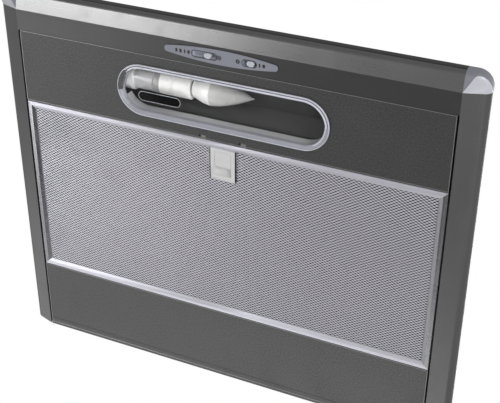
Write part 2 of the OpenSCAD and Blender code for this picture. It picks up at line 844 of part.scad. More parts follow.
module latch_plate() {
  x0 = latch_x - latch_w / 2;
  x1 = latch_x + latch_w / 2;
  y0 = -latch_front;
  y1 = -latch_front + latch_l;
  win = button_w / 2 + latch_gap;
  floor_z = bar_z1 + 0.3;
  scoop_y = -button_rear + latch_travel + 0.4;
  color("whitesmoke") {
    difference() {
      union() {
        box(x0, x1, y0, y1, 0.7, pack_z0);
        box(x0 + 1.5, x1 - 1.5, y0 + 1, y1 - 1.5, pack_z0, pack_z1);
        for (s = [-1, 1]) translate([latch_x, 0, 0])
          box(s > 0 ? latch_w / 2 - 2 : -25, s > 0 ? 25 : -latch_w / 2 + 2, -spring_rear, -spring_rear + lug_t,
            pack_z0 + foil + 0.1, pack_z1);
      }
      box(latch_x - win, latch_x + win, -window_front, -recess_rear, 0, floor_z);
      box(x0 - cut, x1 + cut, -bar_front - 0.5, -bar_rear + latch_travel + 0.5, bar_z0 - 0.3, bar_z1 + 0.3);
    }
    along_x(latch_x - win, latch_x + win)
      polygon(concat([[-recess_rear, 0.7], [-recess_rear, pack_z1], [scoop_y, pack_z1]],
        [for (i = [0:6]) let (u = i / 6)
          [scoop_y - (recess_rear + scoop_y) * sin(90 * u), floor_z - 0.2 - (floor_z - 0.9) * (1 - cos(90 * u))]]));
  }
}
module latch_slider() {
  bar_x = (tongue_span + tongue_w) / 2;
  color("whitesmoke") translate([latch_x, 0, 0]) {
    box(-button_w / 2, button_w / 2, -button_front, -button_rear, 0.9, bar_z1);
    box(-bar_x, bar_x, -bar_front, -bar_rear, bar_z0, bar_z1);
    for (s = [-1, 1]) translate([s * tongue_span / 2, 0, 0])
      box(-tongue_w / 2, tongue_w / 2, -lamp_rear - 2, -bar_rear, bar_z0, bar_z1);
  }
}
module latch_springs() {
  wire = 0.7;
  turns = 5;
  y0 = -bar_rear + 0.05;
  y1 = -spring_rear - 0.05;
  step = (y1 - y0 - 2 * wire) / (turns * 2);
  path = [for (i = [0:turns * 2]) [i % 2 == 0 ? -2.6 : 2.6, y0 + wire + step * i]];
  outline = strip(shifted(path, -wire / 2), wire);
  color("gray") for (s = [-1, 1]) translate([latch_x + s * 21, 0, 0]) {
    along_z(bar_z0 + 0.4, bar_z1 - 0.4) polygon(outline);
    box(-3, 3, y0, y0 + wire, bar_z0 + 0.4, bar_z1 - 0.4);
    box(-3, 3, y1 - wire, y1, bar_z0 + 0.4, bar_z1 - 0.4);
  }
}

// Blower

module scroll_area(t) {
  polygon(concat(
    scroll(t),
    [[blower_y - scroll_radius(270) - t, scroll_top], [tongue_y + t, scroll_top],
    [tongue_y + t, blower_z + scroll_r0 - 1]]
  ));
}
module housing_half(side) {
  x0 = side > 0 ? 0 : -scroll_w / 2;
  x1 = side > 0 ? scroll_w / 2 : 0;
  inlet_x = side > 0 ? x1 - 0.5 : x0 - inlet_collar;
  color("dimgray") difference() {
    union() {
      along_x(x0, x1) scroll_area(scroll_wall);
      along_z(scroll_top - blower_flange_t, scroll_top)
        translate([side > 0 ? 0 : -flange_x, -outlet_back - flange_y]) square([flange_x, 2 * flange_y]);
      for (p = housing_screws_at)
        along_x(side > 0 ? 0.05 : -boss_l, side > 0 ? boss_l : -0.05) translate(p) circle(boss_r);
      translate([inlet_x, blower_y, blower_z]) rotate([0, 90, 0])
        cylinder(r = inlet_r + 4, h = inlet_collar + 0.5);
    }
    along_x(side > 0 ? -cut : x0 + scroll_wall, side > 0 ? x1 - scroll_wall : cut) {
      scroll_area(0);
      translate([blower_y - scroll_radius(270), scroll_top - boss_r])
        square([tongue_y - blower_y + scroll_radius(270), 2 * boss_r]);
    }
    translate([x0 - 5, blower_y, blower_z]) rotate([0, 90, 0]) cylinder(r = inlet_r, h = x1 - x0 + 10);
    for (p = housing_screws_at)
      translate([0, p[0], p[1]]) rotate([0, 90, 0]) cylinder(r = screw_hole_r, h = 40, center = true);
    for (p = concat(blower_screws, collar_screws_at)) translate(p) screw_hole();
  }
}
module blower_housing_left() {
  housing_half(-1);
}
module blower_housing_right() {
  housing_half(1);
}
module impeller() {
  hub_r = shaft_r + 5;
  blade_in = impeller_r - 9;
  color("darkslategray") translate([0, blower_y, blower_z]) rotate([90, 0, 90]) {
    translate([0, 0, -impeller_l / 2]) linear_extrude(impeller_l)
      for (i = [0:blade_count - 1]) rotate(i * 360 / blade_count)
        polygon(concat(arc(blade_in + 4.5, 4.6, 6.4, 226, 318, 4), arc(blade_in + 4.5, 4.6, 5.5, 318, 226, 4)));
    for (z = [-impeller_l / 2, impeller_l / 2 - 2.5]) translate([0, 0, z]) ring(impeller_r, blade_in, 2.5);
    difference() {
      union() {
        translate([0, 0, -0.8]) cylinder(r = impeller_r - 1, h = 1.6);
        translate([0, 0, -5]) cylinder(r = hub_r, h = 16);
      }
      translate([0, 0, -10]) cylinder(r = shaft_r, h = 30);
    }
  }
}
module motor_shaft() {
  color("silver") translate([-14, blower_y, blower_z]) rotate([0, 90, 0]) cylinder(r = shaft_r, h = 29);
}
module motor() {
  color("slategray") translate([-scroll_w / 2 - 18, blower_y, blower_z]) rotate([0, 90, 0]) {
    difference() {
      union() {
        cylinder(r = motor_r, h = 54);
        translate([0, 0, 54]) cylinder(r = shaft_r + 5, h = 2);
        translate([0, 0, -5]) cylinder(r = shaft_r + 8, h = 6);
      }
      translate([0, 0, 49]) cylinder(r = shaft_r + 0.08, h = 10);
      for (i = [0:11]) rotate(i * 30) translate([motor_r - 8, 0, -cut]) cylinder(r = 2.2, h = 5);
    }
  }
}
module spoke_ring(r_out, r_in, r_mid, spokes, t) {
  ring(r_out, r_out - 6, t);
  ring(r_in + 4, r_in, t);
  ring(r_mid + 1.2, r_mid - 1.2, t);
  for (i = [0:spokes - 1]) rotate(i * 360 / spokes)
    translate([r_in + 2, -1.5, 0]) cube([r_out - r_in - 4, 3, t]);
}
module inlet_guard_left() {
  color("black") translate([bracket_x - guard_t, blower_y, blower_z]) rotate([0, 90, 0])
    spoke_ring(inlet_r + 4, motor_r + 0.5, motor_r + 8.5, 24, guard_t);
}
module inlet_guard_right() {
  color("black") translate([scroll_w / 2 + inlet_collar, blower_y, blower_z]) rotate([0, 90, 0]) {
    spoke_ring(inlet_r + 4, 10, 26, 12, guard_t);
    cylinder(r = 12, h = guard_t);
    for (r = [18, 33]) ring(r + 1.2, r - 1.2, guard_t);
  }
}
module motor_bracket() {
  color("silver") translate([bracket_x - 4, blower_y, blower_z]) rotate([0, 90, 0]) {
    translate([0, 0, -13]) ring(motor_r + 3, motor_r, 14.5);
    for (i = [0:2]) rotate(i * 120 + 50)
      translate([motor_r + 1.7, -6, 0]) cube([inlet_r + 2.3 - motor_r, 12, guard_t]);
  }
}

// Duct collar and non-return flaps

module outlet_collar() {
  color("darkslategray") difference() {
    translate([0, -outlet_back, hood_h]) union() {
      translate([0, 0, -sheet]) ring(collar_flange_r, collar_inner_r, collar_flange_t);
      translate([0, 0, -sheet]) ring(collar_r, collar_inner_r, collar_h + sheet);
      translate([0, 0, 7]) intersection() {
        ring(collar_r - 1, collar_inner_r - 3.5, 1.9);
        difference() {
          cube(2 * far, center = true);
          cube([2 * far, 12, 2 * far], center = true);
        }
      }
    }
    translate([0, -outlet_back, pin_z]) rotate([0, 90, 0]) cylinder(r = pin_r, h = far, center = true);
    for (p = collar_screws_at) translate(p) screw_hole();
  }
}
module damper_pin() {
  color("silver") translate([0, -outlet_back, pin_z]) rotate([0, 90, 0])
    cylinder(r = pin_r, h = 2 * collar_r - 1, center = true);
}
// A half-round flap on the side +y of the pin, with knuckles that miss those of the other flap
module flap() {
  plate_y = knuckle_r + 0.5;
  z0 = -flap_t / 2;
  difference() {
    union() {
      intersection() {
        translate([0, 0, z0]) cylinder(r = flap_r, h = flap_t);
        box(-far, far, plate_y, far, -far, far);
      }
      for (i = [-1.5, 0.5]) translate([i * knuckle_step, 0, 0]) {
        rotate([0, 90, 0]) cylinder(r = knuckle_r, h = knuckle_w, center = true);
        box(-knuckle_w / 2, knuckle_w / 2, 0, plate_y + 2, z0, -z0);
      }
    }
    rotate([0, 90, 0]) cylinder(r = pin_r + pin_gap, h = far, center = true);
  }
}
module damper_flap_rear() {
  color("dimgray") translate([0, -outlet_back, pin_z]) flap();
}
module damper_flap_front() {
  color("dimgray") translate([0, -outlet_back, pin_z]) rotate(180) flap();
}

// Electrics

module capacitor() {
  color("white") translate([cap_x, cap_y, cap_z]) rotate([0, 90, 0]) {
    cylinder(r = cap_r, h = cap_l);
    translate([0, 0, cap_l]) cylinder(r = 6, h = 5);
  }
}
module capacitor_clip() {
  clip_w = 14;
  clip_x = cap_x + 16;
  clip_r = cap_r + 0.1;
  color("silver") difference() {
    union() {
      translate([clip_x, cap_y, cap_z]) rotate([0, 90, 0]) cylinder(r = clip_r + 1.1, h = clip_w);
      box(clip_x, clip_x + clip_w, cap_y - 26, cap_y + 26, scroll_top - 1.2, scroll_top);
      box(clip_x, clip_x + clip_w, cap_y - 3, cap_y + 3, cap_z, scroll_top);
    }
    translate([cap_x, cap_y, cap_z]) rotate([0, 90, 0]) cylinder(r = clip_r, h = cap_l);
  }
}
// The terminal box's block, moved inwards by t
module terminal_form(t, z0, z1) {
  translate([gland_x, gland_y, 0])
    box(-terminal_x + t, terminal_x - t, -terminal_y + t, terminal_y - t, z0, z1);
}
module terminal_box() {
  color("whitesmoke") difference() {
    terminal_form(0, box_z0, scroll_top);
    terminal_form(terminal_wall, box_z0 - cut, scroll_top - terminal_wall);
    translate([gland_x, gland_y, hood_h - 8]) cylinder(r = gland_r + 0.1, h = 10);
    translate([gland_x - 30, gland_y - 20, box_z0 + 12]) rotate([0, -90, 0]) cylinder(r = 3.2, h = 20);
  }
}
module terminal_cover() {
  color("white") {
    terminal_form(0, box_z0 - terminal_wall, box_z0);
    difference() {
      terminal_form(terminal_wall + seat_gap, box_z0 - cut, box_z0 + 3);
      terminal_form(2 * terminal_wall, box_z0, box_z0 + 4);
    }
  }
}
module terminal_block() {
  color("ghostwhite") difference() {
    box(gland_x - 30, gland_x + 6, gland_y + 13, gland_y + 31, scroll_top - 18, scroll_top - terminal_wall);
    for (i = [0:2]) translate([gland_x - 24 + i * 12, gland_y + 22, scroll_top - 19]) cylinder(r = 2.6, h = 6);
  }
}
module cable_gland() {
  color("black") translate([gland_x, gland_y, 0]) difference() {
    union() {
      translate([0, 0, scroll_top]) cylinder(r = gland_head_r, h = 5);
      translate([0, 0, hood_h + 4 - cut]) cylinder(r = cord_r + 4.25, h = 8 + cut);
      translate([0, 0, scroll_top - 12]) cylinder(r = gland_r, h = 14);
      translate([0, 0, scroll_top - 8]) cylinder(r = gland_head_r, h = 5.5);
    }
    cylinder(r = cord_r, h = 2 * hood_h);
  }
}
// A run of wire through points that follow the axes
module wire(points, r) {
  for (i = [0:len(points) - 2]) {
    a = points[i];
    d = points[i + 1] - a;
    translate(a) rotate([0, acos(d[2] / norm(d)), atan2(d[1], d[0])]) cylinder(r = r, h = norm(d));
  }
  for (i = [1:len(points) - 2]) translate(points[i]) sphere(r);
}
module wire_loom() {
  box_x0 = gland_x - terminal_x - 0.2;
  y0 = gland_y - 20;
  z0 = box_z0 + 12;
  x1 = wall_x1 + 24;
  run_z = 34;
  switch_z = 15;
  switch_y = -plate_back + 18;
  lamp_y = -lamp_rear - 4.2;
  lamp_x = wall_x0 - 8;
  motor_z = hood_h - 15;
  motor_y = -outlet_back - 41;
  motor_x = -scroll_w / 2 - 54;
  color("black") {
    wire([[box_x0, y0, z0], [x1, y0, z0], [x1, y0, run_z], [x1, switch_y, run_z],
      [x1, switch_y, switch_z], [light_slot_x + 16.5, switch_y, switch_z],
      [light_slot_x + 16.5, -plate_back + 9.2, switch_z]], 3);
    wire([[x1, lamp_y, run_z], [lamp_x, lamp_y, run_z], [lamp_x, -lamp_back, run_z],
      [lamp_x, -lamp_back, lamp_z], [wall_x0 - 0.2, -lamp_back, lamp_z]], 2);
    wire([[box_x0, gland_y + 10, motor_z], [100, gland_y + 10, motor_z], [100, motor_y, motor_z],
      [motor_x, motor_y, motor_z], [motor_x, blower_y, motor_z], [motor_x, blower_y, blower_z],
      [-scroll_w / 2 - 23.2, blower_y, blower_z]], 2);
    wire([[cap_x + cap_l + 5.2, cap_y, cap_z], [cap_x + cap_l + 10, cap_y, cap_z],
      [cap_x + cap_l + 10, gland_y - terminal_y - 0.2, cap_z]], 2);
  }
}

// Fasteners

module sheet_screws() {
  color("silver") {
    for (p = concat(rim_screws, ledge_screws)) translate(p) screw(screw_reach);
    for (p = blower_screws) translate(p) mirror([0, 0, 1]) screw(3.4);
  }
}
module housing_screws() {
  color("silver") for (p = housing_screws_at)
    translate([boss_l, p[0], p[1]]) rotate([0, 90, 0]) screw(2 * boss_l - 1);
}
module collar_screws() {
  color("silver") for (p = collar_screws_at) translate(p) translate([0, 0, collar_flange_t]) screw(5);
}

canopy();
canopy_top();
canopy_end_left();
canopy_end_right();
rear_plate();
front_profile();
side_strip_left();
side_strip_right();
corner_cap_left();
corner_cap_right();
rear_panel();
lamp_panel();
lamp_housing();
lamp_reflector();
lamp_cup();
lamp_holder();
candle_lamp();
lens();
lens_label();
control_plate();
fan_switch();
light_switch();
fan_knob();
light_knob();
filter_frame();
filter_mesh_lower();
filter_pad();
filter_mesh_upper();
filter_tabs();
tab_rivets();
latch_plate();
latch_springs();
latch_slider();
blower_housing_left();
blower_housing_right();
impeller();
motor_shaft();
motor();
motor_bracket();
inlet_guard_left();
inlet_guard_right();
outlet_collar();
damper_pin();
damper_flap_front();
damper_flap_rear();
capacitor();
capacitor_clip();
terminal_box();
terminal_cover();
terminal_block();
cable_gland();
wire_loom();
sheet_screws();
housing_screws();
collar_screws();
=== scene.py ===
"""Looks of a slim kitchen range hood, seen from below as in a showroom picture."""

import json
import math
from contextlib import contextmanager

import bmesh
import bpy
from mathutils import Matrix, Vector


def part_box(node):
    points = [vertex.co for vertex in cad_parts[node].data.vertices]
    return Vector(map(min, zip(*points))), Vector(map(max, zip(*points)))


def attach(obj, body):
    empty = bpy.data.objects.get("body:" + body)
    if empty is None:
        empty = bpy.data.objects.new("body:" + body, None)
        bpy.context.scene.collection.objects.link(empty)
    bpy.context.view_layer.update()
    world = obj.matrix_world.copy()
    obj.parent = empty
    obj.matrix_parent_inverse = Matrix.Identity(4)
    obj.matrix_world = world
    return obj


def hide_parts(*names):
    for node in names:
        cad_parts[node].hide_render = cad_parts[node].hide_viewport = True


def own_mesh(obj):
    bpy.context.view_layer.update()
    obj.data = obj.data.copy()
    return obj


bl_info = {
    "name": "Range hood",
    "version": (1, 0, 0),
    "blender": (4, 5, 0),
    "location": "View3D > Sidebar > Hood",
    "description": "Builds the finish and the fine pieces of a slim range hood",
    "category": "Object",
}

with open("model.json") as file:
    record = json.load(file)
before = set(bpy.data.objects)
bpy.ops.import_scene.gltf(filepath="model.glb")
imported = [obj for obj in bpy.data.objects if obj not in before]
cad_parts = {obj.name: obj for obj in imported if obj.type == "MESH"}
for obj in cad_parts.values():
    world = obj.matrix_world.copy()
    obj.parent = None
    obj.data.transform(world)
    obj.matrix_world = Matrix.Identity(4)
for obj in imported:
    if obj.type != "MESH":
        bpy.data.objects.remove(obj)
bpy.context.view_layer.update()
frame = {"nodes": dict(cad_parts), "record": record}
ALONG_X, ALONG_Y = (5.0, 700.0, 700.0), (700.0, 5.0, 700.0)  # brush scales
SAME_POINT, SAME_CAD_POINT = 1e-7, 2e-6  # distances below which points are merged
MARK_THICKNESS, MARK_ROUND = 0.00008, 0.00001  # the printed marks and their edges


def tint(red, green, blue):
    """The linear colour of a red, green and blue from 0 to 255."""
    def linear(c):
        c = c / 255
        return c / 12.92 if c <= 0.04045 else ((c + 0.055) / 1.055) ** 2.4
    return (linear(red), linear(green), linear(blue))


def grey(level):
    """The linear colour of a neutral grey, from its level of 0 to 255."""
    return tint(level, level, level)


# Sizes and colours that a user would change


def length_property(name, description, default, low, high):
    return bpy.props.FloatProperty(
        name=name, description=description, default=default, min=low, max=high, unit="LENGTH", precision=5
    )


def colour_property(name, default):
    return bpy.props.FloatVectorProperty(
        name=name, description="Colour of the " + name.lower(), default=default, min=0, max=1, size=3,
        subtype="COLOR",
    )


class HoodSizes(bpy.types.PropertyGroup):
    """Sizes of the fine pieces."""

    cell_length: length_property("Cell length", "Pitch of the mesh along the hood", 0.006, 0.004, 0.02)
    cell_width: length_property("Cell width", "Pitch of the mesh from front to back", 0.00375, 0.002, 0.02)
    strand_width: length_property("Strand width", "Width of each strand of the mesh", 0.00074, 0.0004, 0.002)
    strand_thickness: length_property("Strand thickness", "Thickness of the mesh", 0.0003, 0.0002, 0.001)
    strand_tilt: bpy.props.FloatProperty(
        name="Strand tilt", description="Angle at which the strands stand out of the sheet",
        default=math.radians(-24), min=-1, max=1, unit="ROTATION",
    )
    edge_round: length_property("Edge rounding", "Radius of the folded sheet edges", 0.0003, 0.0001, 0.001)
    lens_edge: length_property("Lens edge rounding", "Radius of the lens edge", 0.0012, 0.0005, 0.002)
    mark_height: length_property("Mark height", "Height of the numbers on the plate", 0.0046, 0.002, 0.006)


class HoodColours(bpy.types.PropertyGroup):
    """Colours of the finishes."""

    steel: colour_property("Satin body", grey(142))
    nose: colour_property("Front nose", grey(118))
    strip: colour_property("Side strips", grey(117))
    # the flat lip's darker grey is painted shade: the lip is the same folded sheet as the nose
    lip: colour_property("Flat front lip", grey(84))
    lamp_panel: colour_property("Speckled lamp panel", grey(84))
    rear_panel: colour_property("Speckled rear panel", grey(96))
    cap: colour_property("Corner caps", tint(212, 213, 221))
    plate: colour_property("Control plate", tint(150, 152, 163))
    aluminium: colour_property("Filter aluminium", tint(222, 221, 230))
    latch: colour_property("Latch plate and button", tint(232, 232, 232))
    lamp: colour_property("Frosted lamp and sleeve", tint(243, 243, 240))
    dark: colour_property("Blower and collar plastic", grey(44))


def sizes():
    return bpy.context.scene.hood_sizes


def colours():
    return bpy.context.scene.hood_colours


# Node building blocks


def join(tree, value, socket):
    """Links a socket to another one, or sets it to a plain value."""
    if isinstance(value, bpy.types.NodeSocket):
        tree.links.new(value, socket)
    else:
        socket.default_value = value


def put(tree, kind, inputs=None, **settings):
    """Adds a node with its settings and its inputs, each a value or a socket."""
    made = tree.nodes.new(kind)
    for key, value in settings.items():
        setattr(made, key, value)
    for key, value in (inputs or {}).items():
        join(tree, value, made.inputs[key])
    return made


def result(tree, kind, inputs=None, **settings):
    """Adds a node and gives its first output."""
    return put(tree, kind, inputs, **settings).outputs[0]


def maths(tree, operation, a, b=0.0, c=None):
    inputs = {0: a, 1: b} if c is None else {0: a, 1: b, 2: c}
    return result(tree, "ShaderNodeMath", inputs, operation=operation)


def axes(tree, vector):
    return put(tree, "ShaderNodeSeparateXYZ", {0: vector}).outputs


def blend_colour(tree, factor, a, b, kind="MIX"):
    inputs = {"Factor": factor, 6: a, 7: b}
    return put(tree, "ShaderNodeMix", inputs, data_type="RGBA", blend_type=kind).outputs[2]


def spread(tree, value, low, high, new_low, new_high):
    return result(tree, "ShaderNodeMapRange", {
        "Value": value, "From Min": low, "From Max": high, "To Min": new_low, "To Max": new_high,
    })


def noise(tree, vector, scale, detail=2.0, roughness=0.5):
    return result(tree, "ShaderNodeTexNoise", {
        "Vector": vector, "Scale": scale, "Detail": detail, "Roughness": roughness,
    })


def stretched(tree, vector, scale):
    return result(tree, "ShaderNodeMapping", {"Vector": vector, "Scale": scale})


def coordinates(tree):
    return put(tree, "ShaderNodeTexCoord").outputs["Object"]


def tint_by(tree, colour, amount, value):
    """The colour made lighter and darker by a value round a half, by an amount."""
    factor = maths(tree, "MULTIPLY_ADD", maths(tree, "SUBTRACT", value, 0.5), amount, 1.0)
    return result(tree, "ShaderNodeVectorMath", {0: colour, "Scale": factor}, operation="SCALE")


def socket_kind(value):
    if isinstance(value, str):
        return value
    if isinstance(value, tuple):
        return "Color" if len(value) == 4 else "Vector"
    return "Int" if isinstance(value, int) else "Float"


def new_tree(name, family, inputs, outputs):
    """A node tree. Each input has a value, or the kind of its socket where it has none."""
    tree = bpy.data.node_groups.new(name, family + "NodeTree")
    for way, sockets in (("INPUT", inputs), ("OUTPUT", outputs)):
        for label, value in sockets.items():
            kind = "NodeSocket" + socket_kind(value)
            socket = tree.interface.new_socket(name=label, in_out=way, socket_type=kind)
            if not isinstance(value, str):
                socket.default_value = value
    return tree, tree.nodes.new("NodeGroupInput").outputs, tree.nodes.new("NodeGroupOutput").inputs


def give(tree, out, *values):
    """Links values to a tree's outputs, in their order."""
    for value, socket in zip(values, out):
        tree.links.new(value, socket)
    return tree


# Shader effects

EFFECT_OUTPUTS = {"Colour": "Color", "Roughness": "Float", "Height": "Float"}
MID_GREY = (0.5, 0.5, 0.5, 1)


def make_sheet_group():
    """Sheet metal: drawn-out brush lines, fine flakes, cloudy patches and finger smudges."""
    tree, given, out = new_tree("sheet_metal", "Shader", {
        "Colour": MID_GREY, "Flakes": 0.3, "Flake Scale": 900.0, "Brush": 0.1,
        "Brush Scale": (6.0, 900.0, 900.0), "Clouds": 0.15, "Roughness": 0.35,
    }, EFFECT_OUTPUTS)
    where = coordinates(tree)
    flakes = noise(tree, where, given["Flake Scale"], 1.0)
    lines = noise(tree, stretched(tree, where, given["Brush Scale"]), 1.0, 3.0, 0.6)
    clouds = noise(tree, where, 7.0, 3.0)
    smudges = spread(tree, noise(tree, where, 21.0, 4.0, 0.6), 0.5, 0.72, 0.0, 1.0)
    colour = given["Colour"]
    for label, value in (("Flakes", flakes), ("Brush", lines), ("Clouds", clouds)):
        colour = tint_by(tree, colour, given[label], value)
    rough = maths(tree, "MULTIPLY_ADD", smudges, 0.06, given["Roughness"])
    rough = maths(tree, "MULTIPLY_ADD", maths(tree, "SUBTRACT", lines, 0.5), given["Brush"], rough)
    return give(tree, out, colour, rough, maths(tree, "MULTIPLY_ADD", flakes, 0.5, lines))


def make_plastic_group():
    """Moulded plastic: a fine spark-eroded grain, faint flow marks and rubbed patches."""
    tree, given, out = new_tree("moulded_plastic", "Shader", {
        "Colour": MID_GREY, "Grain Scale": 1400.0, "Mottle": 0.08, "Roughness": 0.45,
    }, EFFECT_OUTPUTS)
    where = coordinates(tree)
    grain = result(tree, "ShaderNodeTexVoronoi", {"Vector": where, "Scale": given["Grain Scale"]})
    flow = noise(tree, stretched(tree, where, (12.0, 30.0, 30.0)), 1.0, 3.0)
    hem_highlight = spread(tree, noise(tree, where, 45.0, 3.0), 0.45, 0.7, 0.0, 1.0)
    rough = maths(tree, "MULTIPLY_ADD", hem_highlight, -0.07, given["Roughness"])
    return give(tree, out, tint_by(tree, given["Colour"], given["Mottle"], flow), rough, grain)


def make_dust_group():
    """Dust and dulling that settle on faces that look up."""
    tree, given, out = new_tree("settled_dust", "Shader", {
        "Colour": MID_GREY, "Dust": (0.45, 0.43, 0.4, 1), "Amount": 0.2, "Roughness": 0.4, "Height": 0.0,
    }, EFFECT_OUTPUTS)
    up = axes(tree, put(tree, "ShaderNodeNewGeometry").outputs["Normal"])[2]
    facing = spread(tree, up, 0.3, 0.95, 0.0, 1.0)
    patches = spread(tree, noise(tree, coordinates(tree), 14.0, 5.0, 0.65), 0.35, 0.75, 0.1, 1.0)
    mask = maths(tree, "MULTIPLY", maths(tree, "MULTIPLY", facing, patches), given["Amount"])
    colour = blend_colour(tree, mask, given["Colour"], given["Dust"])
    rough = maths(tree, "MULTIPLY_ADD", mask, 0.4, given["Roughness"])
    return give(tree, out, colour, rough, given["Height"])


def make_foil_group():
    """Layers of drawn foil behind the mesh: small crossed folds, with painted shade in the gaps between them.
    """
    tree, given, out = new_tree("foil_layers", "Shader", {
        "Colour": (0.1, 0.1, 0.1, 1), "Fold Scale": 260.0, "Depth": 0.8, "Roughness": 0.5,
    }, EFFECT_OUTPUTS)
    where = coordinates(tree)
    folds = result(tree, "ShaderNodeTexVoronoi", {
        "Vector": stretched(tree, where, (0.6, 1.0, 1.0)), "Scale": given["Fold Scale"], "Randomness": 0.55,
    })
    wrinkles = noise(tree, where, 420.0, 2.0)
    # the Gap Shade tint darkens the gaps between the folds as painted shade
    colour = tint_by(tree, given["Colour"], given["Depth"], spread(tree, folds, 0.05, 0.75, 0.0, 1.0))
    rough = maths(tree, "MULTIPLY_ADD", wrinkles, 0.2, given["Roughness"])
    return give(tree, out, colour, rough, maths(tree, "MULTIPLY_ADD", wrinkles, 0.4, folds))


def opaque(colour):
    return (*colour[:3], 1.0)


def new_material(name, shader):
    """A material, its tree and the inputs of its Principled BSDF, with that shader's own values set."""
    material = bpy.data.materials.new(name)
    material.use_nodes = True
    surface = material.node_tree.nodes["Principled BSDF"].inputs
    for label, value in shader.items():
        surface[label].default_value = value
    return material, material.node_tree, surface


def finish_material(name, effect, values, shader, bump=0.1, dust=0.0):
    """A material from one effect group, an optional dust layer and the Principled BSDF's own values."""
    known = bpy.data.materials.get(name)
    if known:
        return known
    material, tree, surface = new_material(name, shader)
    layer = put(tree, "ShaderNodeGroup", values, node_tree=node_tree(effect))
    if dust:
        inputs = {label: layer.outputs[label] for label in EFFECT_OUTPUTS}
        layer = put(tree, "ShaderNodeGroup", {**inputs, "Amount": dust}, node_tree=node_tree("settled_dust"))
    relief = result(tree, "ShaderNodeBump", {
        "Height": layer.outputs["Height"], "Strength": bump, "Distance": 0.0003,
    })
    join(tree, layer.outputs["Colour"], surface["Base Color"])
    join(tree, layer.outputs["Roughness"], surface["Roughness"])
    join(tree, relief, surface["Normal"])
    return material


def sheet(name, colour, metallic, rough, brush=0.12, flakes=0.1, bump=0.08, dust=0.0, clouds=0.12,
          flake_scale=900.0, brush_scale=(6.0, 900.0, 900.0), **shader):
    values = {
        "Colour": opaque(colour), "Flakes": flakes, "Flake Scale": flake_scale, "Brush": brush,
        "Brush Scale": brush_scale, "Clouds": clouds, "Roughness": rough,
    }
    return finish_material(name, "sheet_metal", values, {"Metallic": metallic, **shader}, bump, dust)


def plastic(name, colour, rough, grain=1400.0, mottle=0.08, bump=0.12, dust=0.0, **shader):
    values = {"Colour": opaque(colour), "Grain Scale": grain, "Mottle": mottle, "Roughness": rough}
    return finish_material(name, "moulded_plastic", values, {"Metallic": 0.0, **shader}, bump, dust)


def aluminium(name, metallic, rough, **more):
    return sheet(name, colours().aluminium, metallic, rough, flakes=0.06, clouds=0.08, **more)


# Outlines


def circle(radius, steps=20, turn=0.0):
    angles = [math.tau * (i + turn) / steps for i in range(steps)]
    return [(radius * math.cos(a), radius * math.sin(a)) for a in angles]


def stadium(length, width, steps=24):
    """The outline of a long shape with round ends, as points round the middle."""
    r, straight = width / 2, (length - width) / 2
    points = []
    for side in (1, -1):
        for i in range(steps + 1):
            a = math.pi * (i / steps - 0.5)
            points.append((side * (straight + r * math.cos(a)), side * r * math.sin(a)))
    return points


def stadium_in(low, high, inward, steps=24):
    """The stadium that fills a box, less a distance all round."""
    middle = (low + high) / 2
    shape = stadium(high.x - low.x - 2 * inward, high.y - low.y - 2 * inward, steps)
    return [(middle.x + x, middle.y + y) for x, y in shape]


def rectangle(low, high, inward=0):
    a, b, c, d = low[0] + inward, high[0] - inward, low[1] + inward, high[1] - inward
    return [(a, c), (b, c), (b, d), (a, d)]


def lift(outline, z):
    return [(x, y, z) for x, y in outline]


# Mesh building blocks


@contextmanager
def editing(data):
    """A mesh opened for changes, and written back after them."""
    work = bmesh.new()
    work.from_mesh(data)
    yield work
    work.to_mesh(data)
    work.free()


def add_object(name, data):
    made = bpy.data.objects.new(name, data)
    bpy.context.scene.collection.objects.link(made)
    return made


def shade(piece, degrees):
    """Smooth faces, with sharp edges where the surface turns by more than an angle."""
    limit = math.radians(degrees)
    with editing(piece.data) as work:
        for face in work.faces:
            face.smooth = True
        for edge in work.edges:
            edge.smooth = len(edge.link_faces) == 2 and edge.calc_face_angle(0.0) < limit


def close_up(piece, smooth):
    """Merges points in one place, turns the faces outwards and shades them."""
    with editing(piece.data) as work:
        bmesh.ops.remove_doubles(work, verts=work.verts, dist=SAME_POINT)
        bmesh.ops.recalc_face_normals(work, faces=work.faces)
    shade(piece, smooth)
    return piece


def mesh_piece(name, points, faces, smooth=40):
    """A mesh object at the origin from points in metres, with outward faces."""
    data = bpy.data.meshes.new(name)
    data.from_pydata([tuple(p) for p in points], [], faces)
    data.validate()
    return close_up(add_object(name, data), smooth)


def loft(name, rings, smooth=40, looped=False):
    """A closed skin through rings of equally many points, capped at both ends or looped to the first ring."""
    count, total = len(rings[0]), len(rings)
    faces = []
    for i in range(total if looped else total - 1):
        k = (i + 1) % total
        for j in range(count):
            m = (j + 1) % count
            faces.append((i * count + j, i * count + m, k * count + m, k * count + j))
    if not looped:
        faces += [tuple(range(count)), tuple(range((total - 1) * count, total * count))]
    return mesh_piece(name, [p for ring in rings for p in ring], faces, smooth)


def lathe(name, profile, origin):
    """A piece turned about a line along x: the profile gives the place along it and the radius."""
    rings = []
    for along, radius in profile:
        rings.append([Vector(origin) + Vector((along, u, v)) for u, v in circle(radius, 48)])
    return loft(name, rings)


def band(name, outline, section):
    """A closed ring whose section, as (inward, z) points, follows an outline given by its inward distance."""
    return loft(name, [lift(outline(inward), z) for inward, z in section], 30, looped=True)


def open_band(name, outer, inner, z0, z1, left_out, joined=False):
    """A flat strip between two outlines, open where left_out says so, or reaching to the next such strip."""
    pairs = list(zip(outer, inner))
    out = [left_out(*a) for a in outer]
    start = next(i for i in range(len(pairs)) if out[i] and out[i - 1])
    order = [(start + i) % len(pairs) for i in range(len(pairs))]
    kept = [pairs[i] for i in order if not out[i] or (joined and not out[i - 1])]
    return loft(name, [[(*a, z0), (*b, z0), (*b, z1), (*a, z1)] for a, b in kept])


